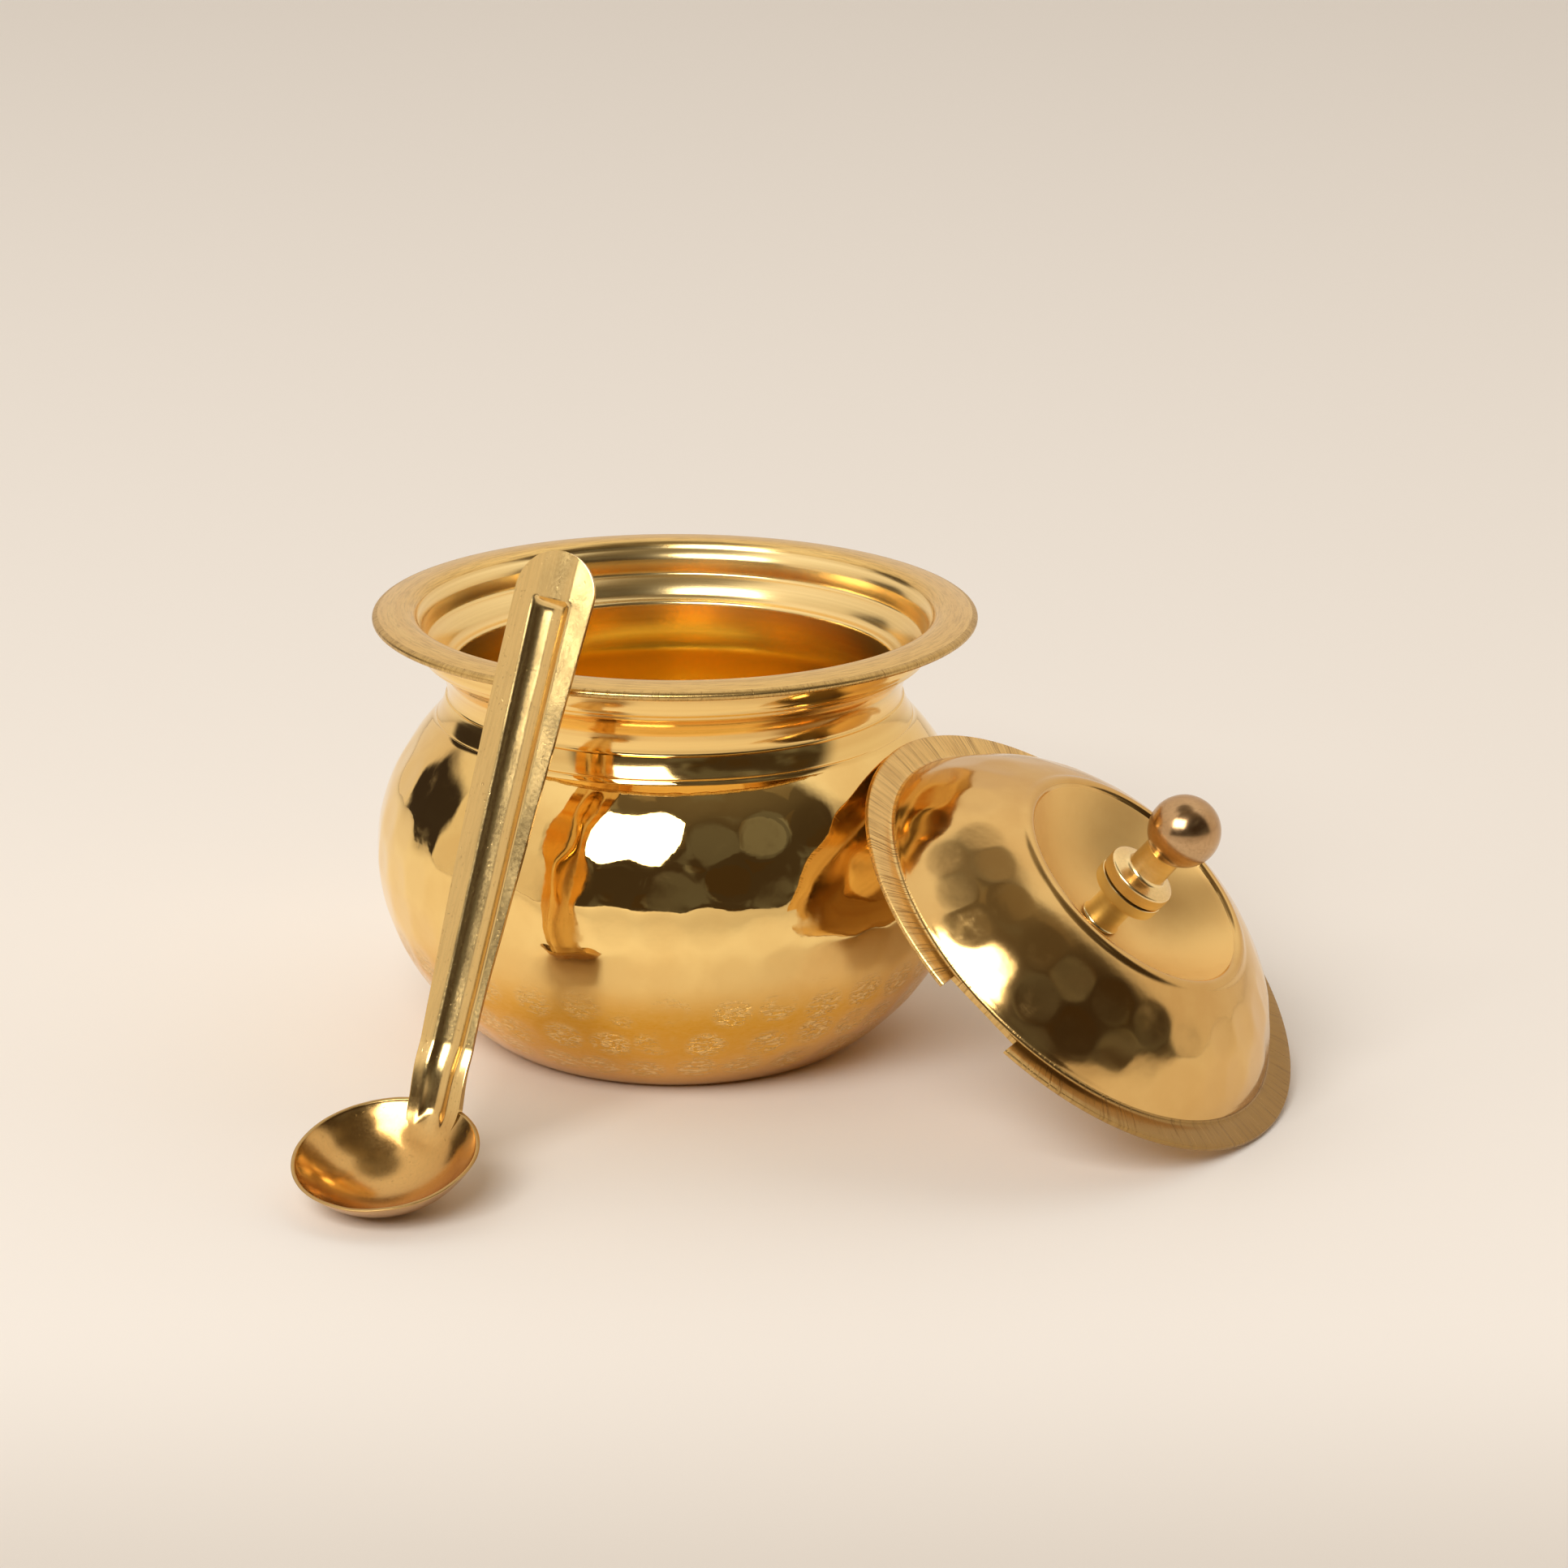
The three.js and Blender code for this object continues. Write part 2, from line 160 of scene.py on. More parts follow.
class GheePotSettings(bpy.types.PropertyGroup):
    """Sizes of the marks and colours of the metals that a user would change."""

    mark_pitch: FloatProperty(
        name="Hammer mark pitch",
        description="Distance between the middles of neighbouring hammer marks",
        default=6.9 * MM,
        min=3 * MM,
        max=15 * MM,
        unit="LENGTH",
    )
    mark_depth: FloatProperty(
        name="Hammer mark depth",
        description="Depth of an average hammer mark",
        default=0.14 * MM,
        min=0,
        max=1 * MM,
        unit="LENGTH",
        precision=5,
    )
    turned_steps: IntProperty(
        name="Steps round the pot",
        description="Number of steps of the pot's and the lid's turned shapes",
        default=360,
        min=48,
        max=420,
    )
    pot_brass: FloatVectorProperty(
        name="Pot brass",
        description="Colour of the polished pot",
        default=(0.98, 0.7, 0.27),
        min=0,
        max=1,
        subtype="COLOR",
    )
    lid_brass: FloatVectorProperty(
        name="Lid brass",
        description="Colour of the polished lid",
        default=(0.93, 0.66, 0.265),
        min=0,
        max=1,
        subtype="COLOR",
    )
    red_brass: FloatVectorProperty(
        name="Knob red brass",
        description="Colour of the knob's ball",
        default=(0.6, 0.39, 0.2),
        min=0,
        max=1,
        subtype="COLOR",
    )
    spoon_brass: FloatVectorProperty(
        name="Spoon brass",
        description="Colour of the pressed spoon",
        default=(0.92, 0.66, 0.28),
        min=0,
        max=1,
        subtype="COLOR",
    )
    floor_colour: FloatVectorProperty(
        name="Floor colour",
        description="Colour of the pale floor",
        default=(0.68, 0.64, 0.59),
        min=0,
        max=1,
        subtype="COLOR",
    )
    window_power: FloatProperty(
        name="Window light",
        description="Power of the soft window light at the left",
        default=50,
        min=0,
        subtype="POWER",
        unit="POWER",
    )


# Outlines, as points of radius and height


def bend(start, corner, end, steps, base=0):
    """Points along a quadratic curve, their heights given above a base."""
    start, corner, end = (Vector((radius, base + height)) for radius, height in (start, corner, end))
    points = []
    for step in range(steps + 1):
        t = step / steps
        points.append(start.lerp(corner, t).lerp(corner.lerp(end, t), t))
    return points


def arc(height, across, rise, start, end, steps):
    """Points along an ellipse whose middle is on the axis, between two angles."""
    points = []
    for step in range(steps + 1):
        angle = start + (end - start) * step / steps
        points.append(Vector((across * math.cos(angle), height + rise * math.sin(angle))))
    return points


def offset(points, distance):
    """The points moved to the right of the way that the outline runs."""
    moved = []
    for index, here in enumerate(points):
        run = points[min(index + 1, len(points) - 1)] - points[max(index - 1, 0)]
        run.normalize()
        moved.append(Vector((here.x + run.y * distance, here.y - run.x * distance)))
    return moved


def belly_rise(height, wall):
    """Half height of the belly's ellipse at a height, the lower one or the upper one."""
    return (LOWER_RISE if height < BELLY_HEIGHT else UPPER_RISE) - wall


def belly_angle(height, wall):
    """Angle along the belly's ellipse at a height."""
    return math.asin((height - BELLY_HEIGHT) / belly_rise(height, wall))


def belly_radius(height):
    """The belly's outer radius at a height."""
    return BELLY_RADIUS * math.cos(belly_angle(height, 0))


def belly_arc(start, end, wall, steps):
    """Points down or up the belly between two heights, a wall's thickness inside its outer face."""
    middle = (start + end) / 2
    angles = [0 if h == BELLY_HEIGHT else belly_angle(h, wall) for h in (start, end)]
    return arc(BELLY_HEIGHT, BELLY_RADIUS - wall, belly_rise(middle, wall), *angles, steps)


# Meshes and objects


def smooth(bm):
    """Shade every face smoothly."""
    for face in bm.faces:
        face.smooth = True


def mesh_from(name, bm):
    """The bmesh as a mesh. The bmesh is used up."""
    mesh = bpy.data.meshes.new(name)
    bm.to_mesh(mesh)
    bm.free()
    return mesh


def placed(name, data):
    """A new object in the scene."""
    thing = bpy.data.objects.new(name, data)
    bpy.context.scene.collection.objects.link(thing)
    return thing


def lathe(stretches, steps, closed=False):
    """A turned bmesh from stretches of outline, each a zone and its points, in millimetres.

    Each face's material index is its stretch's zone, and each vertex keeps its station.
    """
    bm = bmesh.new()
    station = bm.verts.layers.int.new("station")
    verts = []
    zones = []
    for zone, points in stretches:
        for point in points:
            here = Vector((point[0], 0, point[1]))
            if verts and (verts[-1].co - here).length < 1e-3:
                continue
            vert = bm.verts.new(here)
            vert[station] = len(verts)
            verts.append(vert)
            zones.append(zone)
    edges = [bm.edges.new(pair) for pair in zip(verts, verts[1:])]
    if closed:
        edges.append(bm.edges.new((verts[-1], verts[0])))
    bmesh.ops.spin(
        bm,
        geom=verts + edges,
        cent=(0, 0, 0),
        axis=(0, 0, 1),
        dvec=(0, 0, 0),
        angle=math.tau,
        steps=steps,
        use_merge=True,
    )
    bmesh.ops.remove_doubles(bm, verts=bm.verts, dist=1e-4)
    bmesh.ops.recalc_face_normals(bm, faces=bm.faces)
    for face in bm.faces:
        stations = [vert[station] for vert in face.verts]
        last = max(stations)
        wraps = closed and last == len(verts) - 1 and min(stations) == 0
        face.material_index = zones[0] if wraps else zones[last]
    smooth(bm)
    bm.normal_update()
    return bm


def mark_rows(points, pitch, first_shift=0.0, seed=1):
    """Middles of hammer marks in rings along an outline, about a pitch apart."""
    chance = random.Random(seed)
    lengths = [0.0]
    for here, there in zip(points, points[1:]):
        lengths.append(lengths[-1] + (there - here).length)
    rows = max(1, round(lengths[-1] / pitch))
    middles = []
    for row in range(rows):
        along = lengths[-1] * (row + 0.5) / rows
        index = next(i for i, length in enumerate(lengths) if length >= along)
        radius, height = points[index]
        count = max(6, round(math.tau * radius / (pitch * 1.06)))
        for number in range(count):
            turn = math.tau * (number + 0.5 * (row % 2) + first_shift) / count
            turn += chance.uniform(-0.16, 0.16) * pitch / radius
            lift = chance.uniform(-0.16, 0.16) * pitch
            place = Vector((radius * math.cos(turn), radius * math.sin(turn), height + lift))
            middles.append(place)
    return middles


def strike(bm, middles, reach, depth, stations, seed=2):
    """Hammer marks: shallow hollows round each middle, in the surface between two stations."""
    chance = random.Random(seed)
    depths = [depth * chance.uniform(0.55, 1.35) for _ in middles]
    tree = kdtree.KDTree(len(middles))
    for index, middle in enumerate(middles):
        tree.insert(middle, index)
    tree.balance()
    station = bm.verts.layers.int["station"]
    mark = bm.verts.layers.float.new("mark")
    for vert in bm.verts:
        if not stations[0] <= vert[station] <= stations[1]:
            continue
        sink = 0.0
        for _, index, distance in tree.find_range(vert.co, reach):
            share = 1 - (distance / reach) ** 2
            if depths[index] * share**1.4 > sink:
                sink = depths[index] * share**1.4
                vert[mark] = share
        vert.co -= vert.normal * sink
    bm.normal_update()


def finished(name, bm, place, finishes, body, slot, *nodes, sharp=LID_SHARP):
    """The piece's object: its place in its mesh, riding on its body and standing for its nodes."""
    bmesh.ops.transform(bm, matrix=Matrix.Scale(MM, 4) @ place, verts=bm.verts)
    bmesh.ops.recalc_face_normals(bm, faces=bm.faces)
    mesh = mesh_from(name, bm)
    for finish in finishes:
        mesh.materials.append(finish)
    mesh.set_sharp_from_angle(angle=math.radians(sharp))
    piece = placed(name, mesh)
    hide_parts(*nodes)
    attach(piece, body)
    return piece


# Places of the lid and the spoon


def lid_place():
    """The lid's frame in the pot's: its edge on the floor and against the shoulder."""
    edge = 2 * LID_RADIUS * math.sin(LID_LEAN)
    half = LID_SHEET / 2
    run = LID_RADIUS * math.cos(LID_LEAN) + half * math.sin(LID_LEAN)
    reach = belly_radius(edge) + REST_GAP / math.cos(LID_LEAN) + run
    height = LID_RADIUS * math.sin(LID_LEAN) + half * math.cos(LID_LEAN)
    middle = Vector((reach * math.cos(LID_AZIMUTH), reach * math.sin(LID_AZIMUTH), height))
    turn = Matrix.Rotation(LID_AZIMUTH, 4, "Z") @ Matrix.Rotation(LID_LEAN, 4, "Y")
    return Matrix.Translation(middle) @ turn


def handle_place():
    """The handle's frame in the spoon's: Z along it, Y out of its front face, X across it."""
    along = Vector((math.cos(HANDLE_RISE), 0, math.sin(HANDLE_RISE)))
    front = Vector((-math.sin(HANDLE_RISE), 0, math.cos(HANDLE_RISE)))
    across = front.cross(along)
    basis = Matrix((across, front, along)).transposed().to_4x4()
    turn = basis @ Matrix.Rotation(-HANDLE_SET, 4, "Y")
    return Matrix.Translation((BOWL_RADIUS - SPOON_SHEET / 2, 0, 0)) @ turn


def channel_radius(height):
    """Radius of the handle's pressed channel at a height along it."""
    return CHANNEL_FOOT + (CHANNEL_TOP - CHANNEL_FOOT) * height / HANDLE_LENGTH


def spoon_place():
    """The spoon's frame in the pot's: bowl on the floor, channel's back against the lip."""
    turn = Matrix.Rotation(SPOON_AZIMUTH, 4, "Z") @ Matrix.Rotation(-BOWL_TILT, 4, "Y")
    height = BOWL_SPHERE - (BOWL_SPHERE - BOWL_DEPTH) * math.cos(BOWL_TILT)
    ends = []
    for distance in (0, HANDLE_LENGTH):
        depth = channel_radius(distance) + SPOON_SHEET - CHANNEL_AXIS + REST_GAP
        sideways = CHANNEL_SWEEP * (distance / HANDLE_LENGTH - 1)
        ends.append(turn @ handle_place() @ Vector((sideways, -depth, distance)))
    contact_height = POT_HEIGHT - 0.35 - 0.4
    share = (contact_height - height - ends[0].z) / (ends[1].z - ends[0].z)
    touch = ends[0].lerp(ends[1], share)
    right = -RIM_RADIUS * math.cos(SPOON_AZIMUTH) - touch.x
    back = -RIM_RADIUS * math.sin(SPOON_AZIMUTH) - touch.y
    return Matrix.Translation((right, back, height)) @ turn


# Finishes


class Nodes:
    """Short calls that lay out the nodes of a material or a world."""

    def __init__(self, owner):
        owner.use_nodes = True
        self.tree = owner.node_tree
        self.tree.nodes.clear()

    def node(self, kind):
        return self.tree.nodes.new(kind)

    def join(self, source, target):
        self.tree.links.new(source, target)

    def feed(self, socket, value):
        if isinstance(value, bpy.types.NodeSocket):
            self.join(value, socket)
        else:
            socket.default_value = value

    def math(self, operation, first, second=0.0, third=0.0):
        node = self.node("ShaderNodeMath")
        node.operation = operation
        for socket, value in zip(node.inputs, (first, second, third)):
            self.feed(socket, value)
        return node.outputs[0]

    def vector(self, operation, first, second=(0, 0, 0)):
        node = self.node("ShaderNodeVectorMath")
        node.operation = operation
        self.feed(node.inputs[0], first)
        self.feed(node.inputs[1], second)
        return node.outputs["Value"] if operation == "LENGTH" else node.outputs["Vector"]

    def step(self, value, low, high):
        """0 below low, 1 above high, smooth between."""
        node = self.node("ShaderNodeMapRange")
        node.interpolation_type = "SMOOTHSTEP"
        self.feed(node.inputs["Value"], value)
        node.inputs["From Min"].default_value = low
        node.inputs["From Max"].default_value = high
        return node.outputs["Result"]

    def product(self, result, *factors):
        """The values multiplied together."""
        for factor in factors:
            result = self.math("MULTIPLY", result, factor)
        return result

    def total(self, result, *shares):
        """The first value plus each further value times its share."""
        for value, share in shares:
            result = self.math("MULTIPLY_ADD", value, share, result)
        return result

    def parts(self, vector):
        """The X, Y and Z of a vector, by name."""
        separate = self.node("ShaderNodeSeparateXYZ")
        self.join(vector, separate.inputs[0])
        return separate.outputs

    def noise(self, vector, scale, detail=3.0, roughness=0.5, distortion=0.0):
        node = self.node("ShaderNodeTexNoise")
        self.feed(node.inputs["Vector"], vector)
        node.inputs["Scale"].default_value = scale
        node.inputs["Detail"].default_value = detail
        node.inputs["Roughness"].default_value = roughness
        node.inputs["Distortion"].default_value = distortion
        return node.outputs[0]

    def mix(self, factor, first, second):
        node = self.node("ShaderNodeMix")
        node.data_type = "RGBA"
        self.feed(node.inputs[0], factor)
        for socket, value in zip((node.inputs[6], node.inputs[7]), (first, second)):
            if not isinstance(value, bpy.types.NodeSocket):
                value = (*value[:3], 1)
            self.feed(socket, value)
        return node.outputs[2]


class Finish(Nodes):
    """A procedural material that reads a piece in millimetres, from the piece's own frame."""

    def __init__(self, name, place=None):
        self.material = bpy.data.materials.new(name)
        super().__init__(self.material)
        self.shader = self.node("ShaderNodeBsdfPrincipled")
        output = self.node("ShaderNodeOutputMaterial")
        self.join(self.shader.outputs[0], output.inputs["Surface"])
        coordinates = self.node("ShaderNodeTexCoord")
        mapping = self.node("ShaderNodeMapping")
        mapping.vector_type = "TEXTURE"
        self.frame = place or Matrix.Identity(4)
        mapping.inputs["Location"].default_value = self.frame.translation * MM
        mapping.inputs["Rotation"].default_value = self.frame.to_euler("XYZ")
        mapping.inputs["Scale"].default_value = (MM, MM, MM)
        self.join(coordinates.outputs["Object"], mapping.inputs["Vector"])
        self.place = mapping.outputs["Vector"]

    def height(self):
        """Height along the piece's axis."""
        return self.parts(self.place)["Z"]

    def radius(self):
        """Distance from the piece's axis."""
        return self.vector("LENGTH", self.vector("MULTIPLY", self.place, (1, 1, 0)))

    def stretched(self, across, along, *options):
        """Noise at one scale across the piece's axis and another along it."""
        return self.noise(self.vector("MULTIPLY", self.place, (across, across, along)), 1.0, *options)

    def around(self, turn, rise, reach):
        """Coordinates for streaks.

        turn sets how fast they change round the axis, rise along it and reach out from it.
        """
        flat = self.vector("NORMALIZE", self.vector("MULTIPLY", self.place, (1, 1, 0)))
        circle = self.vector("MULTIPLY", flat, (turn, turn, 0))
        up = self.math("MULTIPLY", self.height(), rise)
        out = self.math("MULTIPLY", self.radius(), reach)
        join = self.node("ShaderNodeCombineXYZ")
        self.join(self.math("ADD", up, out), join.inputs["Z"])
        return self.vector("ADD", circle, join.outputs[0])

    def mop(self, turn, rise, reach):
        """The fine swirl of a polishing mop."""
        return self.noise(self.around(turn, rise, reach), 1.0, 6, 0.62, 0.6)

    def clouded(self, colour, share, warmth):
        """The colour with broad, faint clouds of a darker one."""
        clouds = self.noise(self.place, 0.09, 4, 0.6)
        return self.mix(self.step(clouds, 0.35, 0.7), colour, darker(colour, share, warmth))

    def grain(self, strength, turned):
        """Stretched highlights, from marks that run round the axis (turned) or out from it."""
        coordinates = self.node("ShaderNodeTexCoord")
        middle = self.frame.translation * MM
        spoke = self.vector("SUBTRACT", coordinates.outputs["Object"], middle)
        tangent = self.vector("CROSS_PRODUCT", self.frame.to_3x3().col[2], spoke)
        self.join(self.vector("NORMALIZE", tangent), self.shader.inputs["Tangent"])
        self.shader.inputs["Anisotropic"].default_value = strength
        self.shader.inputs["Anisotropic Rotation"].default_value = 0.25 if turned else 0

    def metal(self, colour, roughness, relief):
        """Bare metal. relief is the height of the surface's fine marks, in millimetres."""
        self.feed(self.shader.inputs["Base Color"], colour)
        self.feed(self.shader.inputs["Roughness"], roughness)
        self.shader.inputs["Metallic"].default_value = 1
        bump = self.node("ShaderNodeBump")
        bump.inputs["Strength"].default_value = 1
        bump.inputs["Distance"].default_value = MM
        self.feed(bump.inputs["Height"], relief)
        self.join(bump.outputs[0], self.shader.inputs["Normal"])
        return self.material


def darker(colour, share, warmth=0.0):
    """The colour taken down by a share, and its blue by a further share."""
    return (colour[0] * share, colour[1] * (share - warmth * 0.5), colour[2] * (share - warmth))


def hammered(name, colour, place=None, roughness=0.04, streaks=(5, 2.2, 0.4), worn_and_shaded_below=-10):
    """Polished over hammer marks: duller in the hollows; below a height rougher and rippled, with
    painted amber shade and painted glints.
    """
    finish = Finish(name, place)
    attribute = finish.node("ShaderNodeAttribute")
    attribute.attribute_name = "mark"
    hollow = finish.step(attribute.outputs["Fac"], 0.1, 0.75)
    mop = finish.mop(*streaks)
    worn = finish.step(finish.noise(finish.place, 0.22, 3, 0.6), 0.45, 0.7)
    dull = finish.product(finish.stretched(1.1, 7, 4, 0.6, 0.5), hollow, worn)
    low = finish.step(finish.height(), worn_and_shaded_below, worn_and_shaded_below - WORN_AND_SHADED_FADE)
    grain = finish.stretched(0.75, 2.4, 3, 0.6, 1.0)
    low_grain = finish.product(low, grain)
    patchy = finish.step(finish.noise(finish.place, 0.13, 2, 0.5), 0.3, 0.5)
    ripple_bump_and_glint = finish.product(finish.step(grain, 0.47, 0.56), low, hollow, patchy)
    waves = finish.noise(finish.place, 0.34, 2, 0.5)
    tint = finish.clouded(colour, 0.93, 0.1)
    tint = finish.mix(finish.product(hollow, 0.4), tint, darker(colour, 0.93, 0.08))
    # Painted shade: the low zone turns amber, standing for shaded cloth reflected low on the belly.
    painted_amber_shade = finish.product(low, finish.total(0.66, (grain, 0.5)))
    tint = finish.mix(painted_amber_shade, tint, (0.74, 0.38, 0.035))
    # Painted glints: the ripples low down are tinted pale gold, standing for light caught in them.
    tint = finish.mix(finish.product(ripple_bump_and_glint, 0.48), tint, (1.0, 0.82, 0.41))
    haze = finish.total(roughness - 0.025, (mop, 0.05), (dull, 0.2), (low_grain, 0.16))
    relief = finish.total(0.0, (mop, 0.0012), (dull, 0.0035), (waves, 0.02))
    relief = finish.total(relief, (low_grain, 0.02), (ripple_bump_and_glint, 0.063))
    return finish.metal(tint, haze, relief)


def buffed(name, colour, place, roughness, swirl, streaks):
    """Soft polish with faint clouds and the fine swirl of a polishing mop."""
    finish = Finish(name, place)
    mop = finish.mop(*streaks)
    specks = finish.noise(finish.place, 1.9, 5, 0.7)
    haze = finish.total(roughness - 0.035, (mop, 0.07))
    relief = finish.total(0.0, (mop, swirl), (specks, swirl * 0.8))
    return finish.metal(finish.clouded(colour, 0.95, 0.08), haze, relief)


def spun(
    name, colour, place=None, roughness=0.1, fine=0.0035, coarse=0.012, soiled=0, deep=None, rise=(0, 1)
):
    """Turned metal: rings left by the tool, fine ones everywhere and coarse ones here and there.

    soiled is the share of dark soil in the rings. deep is a colour below the two heights of rise, for
    the
    inside of a pot: painted shade and painted reflection of the light that goes from wall to wall.
    """
    finish = Finish(name, place)
    finish.grain(0.45, True)
    lines = finish.noise(finish.around(0.5, 4.5, 4.5), 1.0, 5, 0.65)
    bands = finish.noise(finish.around(0.12, 0.9, 0.9), 1.0, 2, 0.5)
    tint = finish.mix(finish.step(bands, 0.3, 0.7), darker(colour, 0.93, 0.1), colour)
    if soiled:
        soil = finish.noise(finish.around(9.0, 3.0, 3.0), 1.0, 5, 0.75)
        soil = finish.product(finish.step(soil, 0.42, 0.68), soiled)
        tint = finish.mix(soil, tint, darker(colour, 0.5, 0.1))
    # Painted shade: below the heights of rise the colour turns to the deep one.
    if deep:
        tint = finish.mix(finish.step(finish.height(), *rise), deep, tint)
    haze = finish.total(roughness - 0.07, (lines, 0.14))
    return finish.metal(tint, haze, finish.total(0.0, (lines, fine), (bands, coarse)))


def satin(name, colour, place, roughness, turn, reach, line, dark, side_shade=0):
    """Filed metal, with streaks that run out from the axis and a few darker scratches.

    line is the streaks' relief, dark the scratches' share of a dark colour, and the last argument the
    share of painted shade, a dark brown that grows towards the piece's +X side.
    """
    finish = Finish(name, place)
    finish.grain(0.7, False)
    streak = finish.noise(finish.around(turn, reach, reach), 1.0, 5, 0.7)
    scratch = finish.noise(finish.around(turn * 1.9, reach, reach), 1.0, 4, 0.7)
    scratch = finish.step(scratch, 0.55, 0.66)
    clouds = finish.noise(finish.place, 0.16, 3, 0.6)
    tint = finish.mix(finish.step(clouds, 0.3, 0.75), colour, darker(colour, 0.88, 0.06))
    # Painted shade: the colour darkens to brown towards the piece's +X side.
    if side_shade:
        side = finish.math("SUBTRACT", finish.parts(finish.place)["X"], 12.0)
        side = finish.total(side, (streak, 24.0))
        painted_side_shade = finish.product(finish.step(side, -22, 34), side_shade)
        tint = finish.mix(painted_side_shade, tint, darker(colour, 0.38, 0.1))
    streaked = finish.product(finish.step(streak, 0.42, 0.66), 0.45)
    tint = finish.mix(streaked, tint, darker(colour, 0.5, 0.12))
    tint = finish.mix(finish.product(scratch, dark), tint, darker(colour, 0.3, 0.12))
    haze = finish.total(roughness - 0.1, (streak, 0.2))
    return finish.metal(tint, haze, finish.total(0.0, (streak, line), (scratch, -line * 1.5)))


def pressed(name, colour, shaded_low_colour, place, roughness=0.18, pits=0.0014, dark=0.45):
    """Rolled and pressed sheet: dull spots and short scratches, and a deeper colour below height 0,
    which is painted shade.
    """
    finish = Finish(name, place)
    skin = finish.noise(finish.place, 2.4, 6, 0.72)
    rolled = finish.stretched(3.2, 0.16, 4, 0.6)
    specks = finish.step(finish.stretched(3, 1.4, 2), 0.68, 0.74)
    spots = finish.step(finish.noise(finish.place, 1.1, 5, 0.75), 0.58, 0.74)
    spots = finish.math("MAXIMUM", spots, specks)
    clouds = finish.noise(finish.place, 0.2, 3, 0.6)
    drift = finish.total(finish.math("SUBTRACT", finish.height(), 3.0), (clouds, 6.0))
    # Painted shade: below height 0 the sheet takes the darker, browner colour.
    tint = finish.mix(finish.step(drift, -4.5, 2.5), shaded_low_colour, colour)
    rolling = finish.product(finish.step(rolled, 0.4, 0.7), 0.16)
    tint = finish.mix(rolling, tint, (0.42, 0.29, 0.11))
    tint = finish.mix(finish.product(spots, dark), tint, darker(shaded_low_colour, 0.5, 0.05))
    haze = finish.total(roughness - 0.11, (skin, 0.24))
    relief = finish.total(0.0, (skin, pits), (rolled, pits * 1.4), (specks, -0.006))
    return finish.metal(tint, haze, relief)


# Pieces


